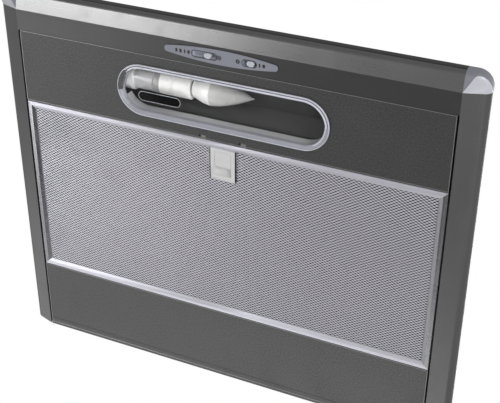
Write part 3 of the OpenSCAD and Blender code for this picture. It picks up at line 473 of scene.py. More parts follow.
def hem(name, node, radius, material):
    """The rolled edge of a panel, painted light grey as a highlight line along it."""
    low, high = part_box(node)
    section = [(radius + u, low.z + radius * 0.75 + v) for u, v in circle(radius, 10)]
    ring = band(name, lambda inward: rectangle(low, high, inward), section)
    return set_piece(ring, body_of(node), slot_of(node), material)


def paint(piece, *materials):
    piece.data.materials.clear()
    for material in materials:
        piece.data.materials.append(material)


def set_piece(piece, body, slot, material=None, *nodes):
    """Gives a finished piece its material and its body, and hides the nodes it stands for; the slot is not
    used.
    """
    if material:
        paint(piece, material)
    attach(piece, body)
    if nodes:
        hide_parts(*nodes)
    return piece


def body_of(node):
    return next(body for body, nodes in frame["record"]["behaviour"]["bodies"].items() if node in nodes)


def slot_of(node):
    return next(s["material_slot"] for s in frame["record"]["subparts"] if s["node"] == node)


def dress(material, *nodes):
    for node in nodes:
        paint(frame["nodes"][node], material)


def bake(piece):
    """Turns a piece's live modifiers into its plain mesh."""
    graph = bpy.context.evaluated_depsgraph_get()
    plain = bpy.data.meshes.new_from_object(
        piece.evaluated_get(graph), preserve_all_data_layers=True, depsgraph=graph
    )
    plain.name = piece.name
    piece.modifiers.clear()
    piece.data = plain


def weigh(piece):
    """Keeps large faces flat in the shading, so that only the folds round off."""
    piece.modifiers.new("normals", "WEIGHTED_NORMAL").keep_sharp = True
    bake(piece)


def soften(material, width, *nodes, segments=2, angle=12, edge=None):
    """Copies nodes with their edges rounded, as folded sheet or moulded plastic has them."""
    for node in nodes:
        data = frame["nodes"][node].data.copy()
        data.name = "fine_" + node
        piece = add_object("fine_" + node, data)
        with editing(data) as work:
            bmesh.ops.remove_doubles(work, verts=work.verts, dist=SAME_CAD_POINT)
            bmesh.ops.dissolve_limit(
                work, angle_limit=math.radians(0.6), verts=work.verts, edges=work.edges,
                use_dissolve_boundaries=False,
            )
            bmesh.ops.recalc_face_normals(work, faces=work.faces)
        if data.has_custom_normals:
            with bpy.context.temp_override(object=piece, active_object=piece):
                bpy.ops.mesh.customdata_custom_splitnormals_clear()
        bevel = piece.modifiers.new("edges", "BEVEL")
        bevel.width, bevel.segments, bevel.use_clamp_overlap = width, segments, True
        bevel.limit_method, bevel.angle_limit = "ANGLE", math.radians(angle)
        paint(piece, material)
        if edge:
            data.materials.append(edge)
            bevel.material = 1
        bake(piece)
        shade(piece, 50)
        weigh(piece)
        set_piece(piece, body_of(node), slot_of(node), None, node)


def cut(work, place, normal):
    """Splits the faces along a plane, so that two materials can meet there."""
    everything = work.verts[:] + work.edges[:] + work.faces[:]
    bmesh.ops.bisect_plane(work, geom=everything, dist=1e-6, plane_co=place, plane_no=normal)


def curve_piece(name, curve):
    """The plain mesh of a curve or of a text."""
    helper = add_object(name + "_line", curve)
    graph = bpy.context.evaluated_depsgraph_get()
    data = bpy.data.meshes.new_from_object(helper.evaluated_get(graph))
    data.name = name
    bpy.data.objects.remove(helper)
    bpy.data.curves.remove(curve)
    return close_up(add_object(name, data), 35)


def printed_mark(name, outlines):
    """A thin plate with holes from closed outlines, for a printed sign."""
    curve = bpy.data.curves.new(name, "CURVE")
    curve.dimensions = "2D"
    curve.fill_mode = "BOTH"
    for outline in outlines:
        spline = curve.splines.new("POLY")
        spline.points.add(len(outline) - 1)
        for point, (x, y) in zip(spline.points, outline):
            point.co = (x, y, 0, 1)
        spline.use_cyclic_u = True
    curve.extrude = MARK_THICKNESS / 2 - MARK_ROUND
    curve.bevel_depth = MARK_ROUND
    curve.bevel_resolution = 0
    curve.offset = -MARK_ROUND
    return curve_piece(name, curve)


def printed_number(name, text):
    """A number of a plain bold font, for the plate."""
    curve = bpy.data.curves.new(name, "FONT")
    curve.body = text
    curve.size = sizes().mark_height
    curve.align_x = curve.align_y = "CENTER"
    curve.extrude = MARK_THICKNESS / 2
    curve.offset = 0.0006  # makes the strokes bold
    return curve_piece(name, curve)


# Geometry Nodes


def grow(piece, tree, values):
    """Runs a Geometry Nodes tree on a piece with values by input name, and keeps the plain mesh."""
    modifier = piece.modifiers.new("grow", "NODES")
    modifier.node_group = tree
    for item in tree.interface.items_tree:
        if item.item_type == "SOCKET" and item.in_out == "INPUT" and item.name in values:
            modifier[item.identifier] = values[item.name]
    bake(piece)


def place_units(tree, unit, material, merged=0.0, **placing):
    """Puts a unit on every point, makes them all real and gives them a material."""
    shape = put(tree, "GeometryNodeObjectInfo", {"Object": unit}).outputs["Geometry"]
    many = result(tree, "GeometryNodeInstanceOnPoints", {"Instance": shape, **placing})
    solid = result(tree, "GeometryNodeRealizeInstances", {"Geometry": many})
    if merged:
        solid = result(tree, "GeometryNodeMergeByDistance", {"Geometry": solid, "Distance": merged})
    return result(tree, "GeometryNodeSetMaterial", {"Geometry": solid, "Material": material})


def make_mesh_tree():
    """Expanded metal: rows of zigzag strands, every other row moved by half a cell, left out at the latch."""
    tree, given, out = new_tree("expanded_metal", "Geometry", {
        "Geometry": "Geometry", "Columns": 10, "Rows": 10, "Cell Length": 0.006, "Row Pitch": 0.0019,
        "Centre": "Vector", "Hole Low": "Vector", "Hole High": "Vector", "Strand": "Object",
        "Material": "Material",
    }, {"Geometry": "Geometry"})
    wide, deep = (
        maths(tree, "MULTIPLY", maths(tree, "SUBTRACT", given[count], 1.0), given[pitch])
        for count, pitch in (("Columns", "Cell Length"), ("Rows", "Row Pitch"))
    )
    grid = result(tree, "GeometryNodeMeshGrid", {
        "Size X": wide, "Size Y": deep, "Vertices X": given["Columns"], "Vertices Y": given["Rows"],
    })
    here = axes(tree, result(tree, "GeometryNodeInputPosition"))
    low_edge = maths(tree, "MULTIPLY_ADD", deep, 0.5, here[1])
    row = maths(tree, "ROUND", maths(tree, "DIVIDE", low_edge, given["Row Pitch"]))
    odd = maths(tree, "MODULO", row, 2.0)
    shift = maths(tree, "MULTIPLY", maths(tree, "MULTIPLY", odd, given["Cell Length"]), 0.5)
    step = result(tree, "ShaderNodeCombineXYZ", {0: shift})
    offset = result(tree, "ShaderNodeVectorMath", {0: step, 1: given["Centre"]}, operation="ADD")
    moved = result(tree, "GeometryNodeSetPosition", {"Geometry": grid, "Offset": offset})
    low, high = axes(tree, given["Hole Low"]), axes(tree, given["Hole High"])
    inside = 1.0
    for axis in (0, 1):
        for test, edge in (("GREATER_THAN", low[axis]), ("LESS_THAN", high[axis])):
            inside = maths(tree, "MULTIPLY", inside, maths(tree, test, here[axis], edge))
    kept = result(
        tree, "GeometryNodeDeleteGeometry", {"Geometry": moved, "Selection": inside}, domain="POINT"
    )
    return give(tree, out, place_units(tree, given["Strand"], given["Material"], 0.00002, Points=kept))


def make_scatter_tree():
    """One like piece on every point, each turned about its own axis by a random share of the spread."""
    tree, given, out = new_tree("one_on_each_point", "Geometry", {
        "Geometry": "Geometry", "Piece": "Object", "Turn": "Vector", "Turn Spread": 0.0, "Seed": 7,
        "Size": 1.0, "Material": "Material",
    }, {"Geometry": "Geometry"})
    loose = put(tree, "FunctionNodeRandomValue", {"Seed": given["Seed"], 2: -1.0, 3: 1.0}, data_type="FLOAT")
    spin = maths(tree, "MULTIPLY", loose.outputs[1], given["Turn Spread"])
    own = result(tree, "FunctionNodeEulerToRotation", {0: result(tree, "ShaderNodeCombineXYZ", {2: spin})})
    base = result(tree, "FunctionNodeEulerToRotation", {0: given["Turn"]})
    turned = result(tree, "FunctionNodeRotateRotation", {0: base, 1: own}, rotation_space="LOCAL")
    placing = {"Points": given["Geometry"], "Rotation": turned, "Scale": given["Size"]}
    return give(tree, out, place_units(tree, given["Piece"], given["Material"], **placing))


TREE_MAKERS = {
    "sheet_metal": make_sheet_group,
    "moulded_plastic": make_plastic_group,
    "settled_dust": make_dust_group,
    "foil_layers": make_foil_group,
    "expanded_metal": make_mesh_tree,
    "one_on_each_point": make_scatter_tree,
}


def node_tree(name):
    return bpy.data.node_groups.get(name) or TREE_MAKERS[name]()


def strand_unit(length, rise, width, thickness, tilt):
    """One period of a zigzag strand, its width leaning out of the sheet."""
    w = Vector((0, math.cos(tilt), math.sin(tilt))) * (width / 2)
    t = Vector((0, -math.sin(tilt), math.cos(tilt))) * (thickness / 2)
    points = []
    for x, y in ((-length / 2, -rise / 2), (0, rise / 2), (length / 2, -rise / 2)):
        centre = Vector((x, y, 0))
        points += [centre - w - t, centre + w - t, centre + w + t, centre - w + t]
    faces = [(i + j, i + 4 + j, i + 4 + (j + 1) % 4, i + (j + 1) % 4) for i in (0, 4) for j in range(4)]
    return mesh_piece("strand", points, faces, 20)


def screw_unit(radius, height):
    """A domed screw head with a crossed recess, its foot at z = 0."""
    half, reach = radius * 0.13, radius * 0.55  # of each arm of the cross
    between = (half + reach) / 2
    arm = [(reach, -half), (reach, 0), (reach, half), (between, half), (half, half), (half, between)]
    cross = []
    for c, s in ((1, 0), (0, 1), (-1, 0), (0, -1)):
        cross += [(c * x - s * y, s * x + c * y) for x, y in arm]
    cross = cross[-1:] + cross[:-1]
    dome = ((0.98, 0), (1, 0.25), (0.93, 0.62), (0.72, 0.9))
    rings = [lift(circle(radius * share, 24, 0.5), height * up) for share, up in dome]
    recess = [(x * 0.75, y * 0.75) for x, y in cross]
    return loft("screw", [*rings, lift(cross, height * 0.98), lift(recess, height * 0.35)], 30)


def scatter(name, unit, places, turn, material, turn_spread):
    """Like pieces at the given places, made by Geometry Nodes from one unit."""
    data = bpy.data.meshes.new(name)
    data.from_pydata([tuple(p) for p in places], [], [])
    piece = add_object(name, data)
    grow(piece, node_tree("one_on_each_point"), {
        "Piece": unit, "Turn": turn, "Turn Spread": turn_spread, "Seed": 7, "Size": 1.0, "Material": material,
    })
    return piece


def solids_of(node):
    """The box of each separate solid of a CAD node."""
    work = bmesh.new()
    work.from_mesh(frame["nodes"][node].data)
    bmesh.ops.remove_doubles(work, verts=work.verts, dist=SAME_CAD_POINT)
    seen, boxes = set(), []
    for vert in work.verts:
        if vert in seen:
            continue
        seen.add(vert)
        stack, found = [vert], []
        while stack:
            found.append(stack.pop())
            fresh = {edge.other_vert(found[-1]) for edge in found[-1].link_edges} - seen
            seen |= fresh
            stack += fresh
        boxes.append([Vector(pick(v.co[i] for v in found) for i in range(3)) for pick in (min, max)])
    work.free()
    return boxes


def fine_mesh(name, z, edge, hole, material, node):
    """An expanded metal sheet inside the filter frame at height z, left out over a hole."""
    s = sizes()
    low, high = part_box("filter_frame")
    centre = (low + high) / 2
    row_pitch = s.cell_width / 2
    overlap = 0.93  # share of a strand's width, so that rows are joined at their tips
    rise = row_pitch - s.strand_width * math.cos(s.strand_tilt) * overlap
    unit = strand_unit(s.cell_length, rise, s.strand_width, s.strand_thickness, s.strand_tilt)
    piece = add_object(name, bpy.data.meshes.new(name))
    grow(piece, node_tree("expanded_metal"), {
        "Columns": int((high.x - low.x - 2 * edge) / s.cell_length),
        "Rows": int((high.y - low.y - 2 * edge) / row_pitch),
        "Cell Length": s.cell_length, "Row Pitch": row_pitch, "Centre": (centre.x, centre.y, z),
        "Hole Low": hole[0], "Hole High": hole[1], "Strand": unit, "Material": material,
    })
    bpy.data.objects.remove(unit)
    shade(piece, 20)
    set_piece(piece, "filter", "filter_aluminium", None, node)


def coat(weight, rough):
    """The clear coat of a Principled BSDF."""
    return {"Coat Weight": weight, "Coat Roughness": rough}


# The operators, one for each group of pieces


class HOOD_OT_body(bpy.types.Operator):
    """Finish of the folded sheet body, its panels and side strips."""

    bl_idname = "hood.body"
    bl_label = "Body and panels"

    def execute(self, context):
        c, round_r = colours(), sizes().edge_round
        along, across = {"brush_scale": ALONG_X}, {"brush_scale": ALONG_Y}
        body = sheet("canopy_steel", c.steel, 0.75, 0.34, brush=0.16, dust=0.35, **along)
        nose = sheet("nose_steel", c.nose, 0.85, 0.28, brush=0.05, flakes=0.2, dust=0.2, **along)
        strips = sheet("strip_steel", c.strip, 0.8, 0.34, brush=0.1, flakes=0.14, dust=0.2, **across)
        speckle = {"brush": 0.06, "flakes": 1.0, "flake_scale": 520.0, "bump": 0.15, **along}
        lamp_panel = sheet("lamp_panel_steel", c.lamp_panel, 0.7, 0.42, **speckle)
        rear_panel = sheet("rear_panel_steel", c.rear_panel, 0.7, 0.42, **speckle)
        # the lip and the steep front of the nose are painted darker than the nose as painted shade, though
        # all three are one sheet
        lip = sheet("lip_steel", c.lip, 0.75, 0.36, brush=0.05, flakes=0.3, **along)
        steep = sheet("nose_front_steel", grey(66), 0.85, 0.34, brush=0.05, dust=0.1, **along)
        # the panels' rolled edges are painted light grey as a painted highlight line
        hem_highlight = sheet("rubbed_edge", grey(176), 0.6, 0.3, brush=0.2, **along)
        soften(body, round_r, "canopy", "canopy_top", "canopy_end_left", "canopy_end_right")
        soften(nose, round_r, "front_profile")
        self.paint_profile_shade(bpy.data.objects["fine_front_profile"].data, lip, steep)
        soften(strips, round_r, "side_strip_left", "side_strip_right")
        soften(lamp_panel, 0.0004, "lamp_panel")
        soften(rear_panel, 0.0004, "rear_panel")
        hem("lamp_panel_hem", "lamp_panel", 0.00045, hem_highlight)
        hem("rear_panel_hem", "rear_panel", 0.0004, hem_highlight)
        soften(rear_panel, round_r, "rear_plate")
        return {"FINISHED"}

    @staticmethod
    def paint_profile_shade(data, lip, steep):
        """Gives the flat lip and the steep front of the nose darker copies of the nose's steel, as painted
        shade on one folded sheet.
        """
        data.materials.append(lip)
        data.materials.append(steep)
        level, upright = -0.995, -0.35  # upward parts of the normals at which the two begin
        for face in data.polygons:
            if face.normal.z < level:
                face.material_index = 1
            elif face.normal.z > upright:
                face.material_index = 2


class HOOD_OT_caps(bpy.types.Operator):
    """Silver corner caps of the tray."""

    bl_idname = "hood.caps"
    bl_label = "Corner caps"

    def execute(self, context):
        moulded = {"grain": 1800.0, "bump": 0.04, "dust": 0.15}
        cap = plastic("cap_lacquer", colours().cap, 0.3, **moulded, **coat(0.4, 0.15))
        # this darker grey is painted shade on the cap's front slope and its outer rounding
        edge = plastic("cap_edge", tint(138, 138, 148), 0.5, **moulded)
        low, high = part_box("corner_cap_right")
        apex = (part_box("front_profile")[1].x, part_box("side_strip_right")[0].y)
        ridge, corner = 0.52, 0.018  # the angle where the front slope ends, and the radius of the corner
        angles = [ridge * i / 5 for i in range(6)]
        angles += [ridge + (math.pi / 2 - ridge) * (i / 24) for i in range(1, 25)]
        for side, node in ((1, "corner_cap_right"), (-1, "corner_cap_left")):
            rings = []
            for angle in angles:
                reach = self.reach(angle, high.x - apex[0], apex[1] - low.y, corner)
                rings.append([
                    (side * (apex[0] + d * math.sin(angle)), apex[1] - d * math.cos(angle), z)
                    for d, z in self.section(reach, angle, ridge, high.z)
                ])
            piece = loft("fine_" + node, rings, 14)
            paint(piece, cap, edge)
            for face in piece.data.polygons:
                centre = face.center
                turn = math.atan2(abs(centre.x) - apex[0], apex[1] - centre.y)
                part = (turn - ridge) / (math.pi / 2 - ridge)
                # faces on the front slope, or turned further than the limit, get the painted shade
                face.material_index = int(part < 0 or face.normal.z > self.shade_limit(part))
            weigh(piece)
            set_piece(piece, "hood", "cap_silver", None, node)
        return {"FINISHED"}

    @staticmethod
    def shade_limit(part):
        """The upward part of the normal past which the cap is painted darker as shade, along the turn from 0
        to 1.
        """
        start, rise, dip, dip_length = -0.71, 0.52, 0.27, 0.3
        return start + rise * part - dip * max(0, 1 - part / dip_length) ** 2

    @staticmethod
    def reach(angle, wide, deep, corner):
        """How far the cap's round corner lies from its inner corner, at an angle from straight ahead."""
        right, ahead = math.sin(angle), math.cos(angle)
        x, y = wide - corner, deep - corner
        if ahead * x >= right * deep:
            return deep / ahead
        if right * y >= ahead * wide:
            return wide / right
        along = right * x + ahead * y
        return along + math.sqrt(along * along - x * x - y * y + corner * corner)

    @staticmethod
    def section(reach, angle, ridge, top):
        """Outline of the cap on a plane through its inner corner: a slope, a round edge and a rolled top."""
        if angle <= ridge:
            u = angle / ridge
            slope, r = math.radians(14 - 9 * u), 0.008 - 0.003 * u
        else:
            u = (angle - ridge) / (math.pi / 2 - ridge)
            slope, r = math.radians(5 + 13 * u ** 1.5), 0.005 + 0.006 * u ** 3
        roll, middle = 0.004, reach - r
        height = middle * math.tan(slope) + r / math.cos(slope)
        points = [(0, 0)]
        for i in range(13):
            a = slope - math.pi / 2 + (math.pi / 2 - slope) * i / 12
            points.append((middle + r * math.cos(a), height + r * math.sin(a)))
        for i in range(9):
            a = math.pi / 2 * i / 8
            points.append((reach - roll + roll * math.cos(a), top - roll + roll * math.sin(a)))
        return points + [(0, top)]


class HOOD_OT_filter(bpy.types.Operator):
    """Grease filter: frame, fine expanded metal and the foil layers between."""

    bl_idname = "hood.filter"
    bl_label = "Grease filter"

    def execute(self, context):
        frame_metal = aluminium("frame_aluminium", 0.9, 0.38, brush=0.03, bump=0.03)
        bright = aluminium("rail_edge_aluminium", 0.5, 0.3, brush=0.05)
        strand = aluminium("mesh_aluminium", 0.2, 0.4, brush=0.05)
        upper = aluminium("upper_mesh_aluminium", 0.7, 0.4, brush=0.05)
        soften(frame_metal, 0.0003, "filter_frame", edge=bright)
        low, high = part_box("filter_frame")
        rim = 0.002  # only edges this near the outside are bright
        rails = bpy.data.objects["fine_filter_frame"].data
        for face in rails.polygons:
            x, y = face.center.x, face.center.y
            if low.x + rim < x < high.x - rim and low.y + rim < y < high.y - rim:
                face.material_index = 0
        self.paint_side_rail_shade(rails, low, high)
        latch_low, latch_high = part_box("latch_plate")
        middle = (latch_low.x + latch_high.x) / 2

        def hole(half, front, back):
            return (middle - half, front, 0), (middle + half, back, 0)

        lower_hole = hole(0.0155, latch_low.y + 0.001, latch_high.y - 0.001)
        fine_mesh("fine_mesh_lower", 0.00285, 0.004, lower_hole, strand, "filter_mesh_lower")
        low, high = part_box("filter_mesh_upper")
        upper_hole = hole(0.0335, low.y - 0.01, latch_high.y + 0.002)
        fine_mesh("fine_mesh_upper", (low.z + high.z) / 2, 0.006, upper_hole, upper, "filter_mesh_upper")
        foil = finish_material("filter_foil", "foil_layers", {
            "Colour": opaque(grey(24)), "Fold Scale": 300.0, "Depth": 0.9, "Roughness": 0.5,
        }, {"Metallic": 0.6}, 0.6)
        dress(foil, "filter_pad")
        soften(frame_metal, 0.00015, "filter_tabs")
        self.make_shade_sheet(middle, latch_high)
        dress(sheet("rivet_zinc", grey(168), 0.8, 0.4, brush=0.1), "tab_rivets")
        return {"FINISHED"}

    @staticmethod
    def paint_side_rail_shade(rails, low, high):
        """The two side rails, mitred at the corners, are brushed the other way and painted darker as shade.
        """
        side_rail_shade = tint(156, 156, 160)
        rails.materials.append(sheet("side_rail_aluminium", side_rail_shade, 0.85, 0.26, brush_scale=ALONG_Y))
        middle, half = (low + high) / 2, (high - low) / 2
        rail_width = 0.009
        with editing(rails) as work:
            for x, y in ((-1, -1), (-1, 1), (1, -1), (1, 1)):
                cut(work, (middle.x + x * half.x, middle.y + y * half.y, 0), (x, -y, 0))
            for face in work.faces:
                off = face.calc_center_median() - middle
                if abs(off.x) - half.x > abs(off.y) - half.y and abs(off.x) > half.x - rail_width:
                    face.material_index = 2

    @staticmethod
    def make_shade_sheet(middle, latch_high):
        """A dark sheet over the latch's cut-out in the pad, painted shade where the hood's inside would show.
        """
        half, z = 0.0345, latch_high.z + 0.0001
        low = (middle - half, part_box("filter_frame")[0].y + 0.0075)
        high = (middle + half, latch_high.y + 0.003)
        section = ((0.0003, 0), (0, 0.0002), (0, 0.0003), (0.0003, 0.0005))
        shade_sheet = loft("latch_shield", [lift(rectangle(low, high, inward), z + up) for inward, up in section])
        set_piece(shade_sheet, "filter", "filter_aluminium", sheet("shield_steel", grey(34), 0.5, 0.5, brush=0.1))


class HOOD_OT_latch(bpy.types.Operator):
    """Filter latch: plate with its finger scoop, sliding button and springs."""

    bl_idname = "hood.latch"
    bl_label = "Filter latch"

    def execute(self, context):
        white = plastic("latch_plastic", colours().latch, 0.42, grain=1500.0, mottle=0.05, bump=0.06)
        soften(white, 0.00025, "latch_plate", "latch_slider", angle=30)
        low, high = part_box("latch_plate")
        middle = (low.x + high.x) / 2
        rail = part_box("filter_frame")[0].y + 0.0072
        self.paint_bar_shade(bpy.data.objects["fine_latch_plate"].data, middle, 0.0158, low.y - 1)
        self.paint_bar_shade(bpy.data.objects["fine_latch_slider"].data, middle, 0.0166, rail)
        wire = sheet("spring_wire", grey(150), 0.9, 0.3, brush=0.05)
        soften(wire, 0.00006, "latch_springs", segments=1)
        low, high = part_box("latch_springs")
        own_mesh(bpy.data.objects["fine_latch_springs"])
        return {"FINISHED"}

    @staticmethod
    def paint_bar_shade(data, middle, half, front):
        """What lies behind the mesh is painted dark as shade, so that only the plate, button and tongues show
        light.
        """
        data.materials.append(sheet("bar_steel", grey(26), 0.3, 0.6, brush=0.05))
        with editing(data) as work:
            cut(work, (middle - half, 0, 0), (1, 0, 0))
            cut(work, (middle + half, 0, 0), (1, 0, 0))
            cut(work, (0, front, 0), (0, 1, 0))
            for face in work.faces:
                centre = face.calc_center_median()
                face.material_index = int(abs(centre.x - middle) > half and centre.y > front)


class HOOD_OT_lens(bpy.types.Operator):
    """Clear lamp lens with its double rim and blank rating patch."""

    bl_idname = "hood.lens"
    bl_label = "Lamp lens"

    def execute(self, context):
        low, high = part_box("lens")
        r, bottom, top = sizes().lens_edge, low.z, high.z
        floor = bottom + 0.0014  # the upper side of the clear bottom
        wall, back = 0.0045, 0.0059  # the two sides of the upright wall, from the outline inward
        rolled = [math.pi / 2 * i / 6 for i in range(7)]
        profile = [
            (0.012, bottom), *((r - r * math.sin(a), bottom + r - r * math.cos(a)) for a in rolled),
            (0, -0.0003), (0.0019, -0.0003), (0.0021, floor + 0.0003), (0.0024, floor),
            (wall - 0.0004, floor), (wall, floor + 0.0004), (wall, top - 0.0003), (wall + 0.0003, top),
            (back - 0.0003, top), (back, top - 0.0003), (back, floor + 0.0006), (back + 0.0006, floor),
            (0.012, floor),
        ]
        rings = [lift(stadium_in(low, high, inward), z) for inward, z in profile]
        piece = set_piece(loft("fine_lens", rings, 30), "lens", "clear_plastic", self.clear(), "lens")
        piece.visible_shadow = False
        label = plastic("label_paint", grey(6), 0.35, grain=1600.0, mottle=0.1, bump=0.03)
        soften(label, 0.0001, "lens_label", angle=50)
        # the pale rim colour is a painted highlight, used for the bead, the bands and the label's outline
        rim_highlight = plastic("lens_edge_frost", tint(222, 223, 232), 0.2, grain=1200.0, mottle=0.1, bump=0.05,
                        **coat(0.6, 0.06))
        bead = self.square_band("lens_bead", low, high, 0.0004, 0.0008, bottom + 0.0001, bottom + 0.0011)
        set_piece(bead, "lens", "clear_plastic", rim_highlight)
        self.make_bands(low, high, floor, rim_highlight)
        low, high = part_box("lens_label")
        z0, z1 = low.z - 0.00005, low.z + 0.00015
        ring = self.square_band("label_outline", low, high, -0.00045, 0.0004, z0, z1)
        set_piece(ring, "lens", "white_plastic", rim_highlight)
        return {"FINISHED"}

    @staticmethod
    def clear():
        """Clear plastic with faint smears and a slow ripple."""
        material, tree, surface = new_material("lens_clear", {
            "Base Color": (0.99, 0.99, 1, 1), "Transmission Weight": 1.0, "IOR": 1.25,
        })
        where = coordinates(tree)
        smears = spread(tree, noise(tree, where, 60.0, 4.0, 0.6), 0.45, 0.8, 0.04, 0.09)
        ripple = result(tree, "ShaderNodeBump", {
            "Height": noise(tree, where, 18.0, 1.0), "Strength": 0.02, "Distance": 0.002,
        })
        join(tree, smears, surface["Roughness"])
        join(tree, ripple, surface["Normal"])
        return material

    @staticmethod
    def square_band(name, low, high, inward, wide, z0, z1):
        section = ((inward, z0), (inward, z1), (inward + wide, z1), (inward + wide, z0))
        return band(name, lambda e: stadium_in(low, high, e), section)

    @staticmethod
    def make_bands(low, high, floor, rim_highlight):
        """Pale bands and lines under the lens's floor and on its wall as painted highlights and sheen, and a
        grey band at its left end as painted shade, where the photograph shows them.
        """
        middle, top, r = (low + high) / 2, high.z, sizes().lens_edge
        front_y, left_y, wall_y = -0.0218, 0.0065, -0.0075  # where bands end, from the middle of the lens
        left_x, right_x = middle.x - (high.x - low.x) * 0.455, high.x - 0.016

        def left(x, y):
            return x < left_x and front_y < y - middle.y < left_y

        def front(x, y):
            return y - middle.y < front_y or (y < middle.y and x > middle.x)

        def far(x, y):
            return y - middle.y > wall_y and x < right_x

        # painted sheen on the back band and on the inner wall
        ground = plastic("lens_wall_frost", tint(158, 159, 167), 0.4, grain=900.0, mottle=0.1, bump=0.1)
        shade_grey = plastic("lens_end_shade", grey(84), 0.5, grain=900.0, mottle=0.1)
        under = (floor - 0.0003, floor - 0.0001)
        lying, upright = (low.z - 0.00006, low.z + 0.00006), (floor + 0.0007, top + 0.0002)
        edge = (floor - 0.0008, floor - 0.0005)
        for name, inward, wide, (z0, z1), left_out, finish in (
            ("lens_band_end", r + 0.0001, 0.0064 - r, lying, lambda x, y: not left(x, y), shade_grey),
            ("lens_line_front", 0.0014, 0.0009, under, lambda x, y: not front(x, y), rim_highlight),
            ("lens_rib_front", 0.0034, 0.0015, under, lambda x, y: not front(x, y), rim_highlight),
            ("lens_band_back", 0.0013, 0.0052, under, lambda x, y: front(x, y) or left(x, y), ground),
            ("lens_inner_wall", 0.006, 0.0004, upright, lambda x, y: front(x, y) or left(x, y), ground),
            ("lens_wall_edge", 0.0047, 0.0008, edge, far, rim_highlight),
        ):
            outer, inner = (stadium_in(low, high, e) for e in (inward, inward + wide))
            set_piece(open_band(name, outer, inner, z0, z1, left_out, True), "lens", "clear_plastic", finish)


class HOOD_OT_lamp(bpy.types.Operator):
    """Frosted candle lamp in its sleeve, with cup, reflector and housing."""

    bl_idname = "hood.lamp"
    bl_label = "Lamp"

    def execute(self, context):
        c = colours()
        frosted = plastic("lamp_frosted", c.lamp, 0.3, grain=2000.0, mottle=0.04, bump=0.03, **coat(0.4, 0.1))
        sleeve = plastic("lamp_sleeve", c.lamp, 0.35, grain=1600.0, mottle=0.05, bump=0.04)
        cup = plastic("lamp_cup", grey(214), 0.3, grain=1600.0, mottle=0.06, bump=0.04)
        low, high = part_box("candle_lamp")
        hold_low, hold_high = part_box("lamp_holder")
        axis = (0, (low.y + high.y) / 2, (low.z + high.z) / 2)
        start, end = hold_high.x + 0.0022, high.x
        # painted shade along the lamp: the cup's neck, the sleeve's left end, a painted shadow ring where the
        # glass meets the sleeve, and the glass darker towards its tip
        for material, x0, x1, shadow in (
            (cup, -0.1192, -0.118, 212), (sleeve, -0.0852, -0.0858, 168),
            (frosted, start + 0.0022, start + 0.0016, 90), (frosted, -0.0206, -0.0194, 206),
            (frosted, -0.0194, end, 196),
        ):
            self.fade(material, x0, x1, grey(shadow))
        bulb = lathe("fine_candle_lamp", self.bulb_profile(low.x, start, end, (high.z - low.z) / 2), axis)
        set_piece(bulb, "hood", "lamp_white", frosted, "candle_lamp")
        x0, x1, out_r = hold_low.x, start, (hold_high.z - hold_low.z) / 2
        in_r, groove_r = 0.009, out_r - 0.0009
        holder = lathe("fine_lamp_holder", [
            (x0, out_r - 0.001), (x0 + 0.001, out_r), (x0 + 0.0235, out_r), (x0 + 0.0242, groove_r),
            (x0 + 0.0256, groove_r), (x0 + 0.0263, out_r), (x1 - 0.001, out_r), (x1, out_r - 0.001),
            (x1, in_r + 0.0008), (x1 - 0.0008, in_r), (x0 + 0.018, in_r), (x0 + 0.018, 0.0005),
        ], axis)
        set_piece(holder, "hood", "white_plastic", sleeve, "lamp_holder")
        soften(cup, 0.0006, "lamp_cup", angle=50, segments=3)
        dark = sheet("housing_dark", grey(66), 0.4, 0.4, brush=0.04, flakes=0.0)
        dress(dark, "lamp_reflector", "lamp_housing")
        self.make_well(axis[1], out_r + 0.0022)
        return {"FINISHED"}

    @staticmethod
    def bulb_profile(neck, start, end, r):
        """The neck in the holder, the swelling of the glass and its candle tip."""
        glass, swell, foot_r = start + 0.0002, 0.026, 0.0105
        profile = [(neck, 0.0058), (neck + 0.001, 0.0068), (start - 0.004, 0.0068), (glass, foot_r)]
        for i in range(1, 13):
            u = i / 12
            profile.append((glass + swell * u, foot_r + (r - foot_r) * math.sin(math.pi / 2 * u)))
        tip = end - 0.001 - glass - swell
        for i in range(1, 17):
            u = i / 16
            thick = r * math.cos(math.pi / 2 * u) ** 0.82 * (1 - 0.22 * u)
            profile.append((glass + swell + tip * u, max(thick, 0.0009)))
        return [*profile, (end - 0.0002, 0.0004)]

    @staticmethod
    def fade(material, x0, x1, shadow):
        """Multiplies a material's colour by a darker one as painted shade, from one place along x to another.
        """
        tree = material.node_tree
        base = tree.nodes["Principled BSDF"].inputs["Base Color"]
        mask = spread(tree, axes(tree, coordinates(tree))[0], x0, x1, 0.0, 1.0)
        join(tree, blend_colour(tree, mask, base.links[0].from_socket, opaque(shadow), "MULTIPLY"), base)

    @staticmethod
    def make_well(lamp_y, lamp_half):
        """The pale ribbed wall round the lamp opening, open at the left for the lamp's cup."""
        low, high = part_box("lens")
        middle_x = (low.x + high.x) / 2
        outer, inner = (stadium_in(low, high, e, 32) for e in (0.0045, 0.0056))
        well = open_band("lamp_well", outer, inner, high.z + 0.0003, 0.0165,
                         lambda x, y: x < middle_x and abs(y - lamp_y) < lamp_half)
        pale = plastic("well_pale", grey(190), 0.5, grain=900.0, mottle=0.12, bump=0.1)
        set_piece(well, "hood", "white_plastic", pale)


def arc(radius, start, end, steps):
    """Points on a circle, from one share of a turn to another."""
    angles = [math.tau * (start + (end - start) * i / steps) for i in range(steps + 1)]
    return [(radius * math.cos(a), radius * math.sin(a)) for a in angles]


def fan_icon(radius):
    """A small round fan sign: a hub and four blades."""
    quarters = (0, 0.25, 0.5, 0.75)
    blades = [arc(radius, q, q + 0.17, 8) + arc(radius * 0.3, q + 0.116, q - 0.02, 4) for q in quarters]
    return [circle(radius * 0.18, 12), *blades]


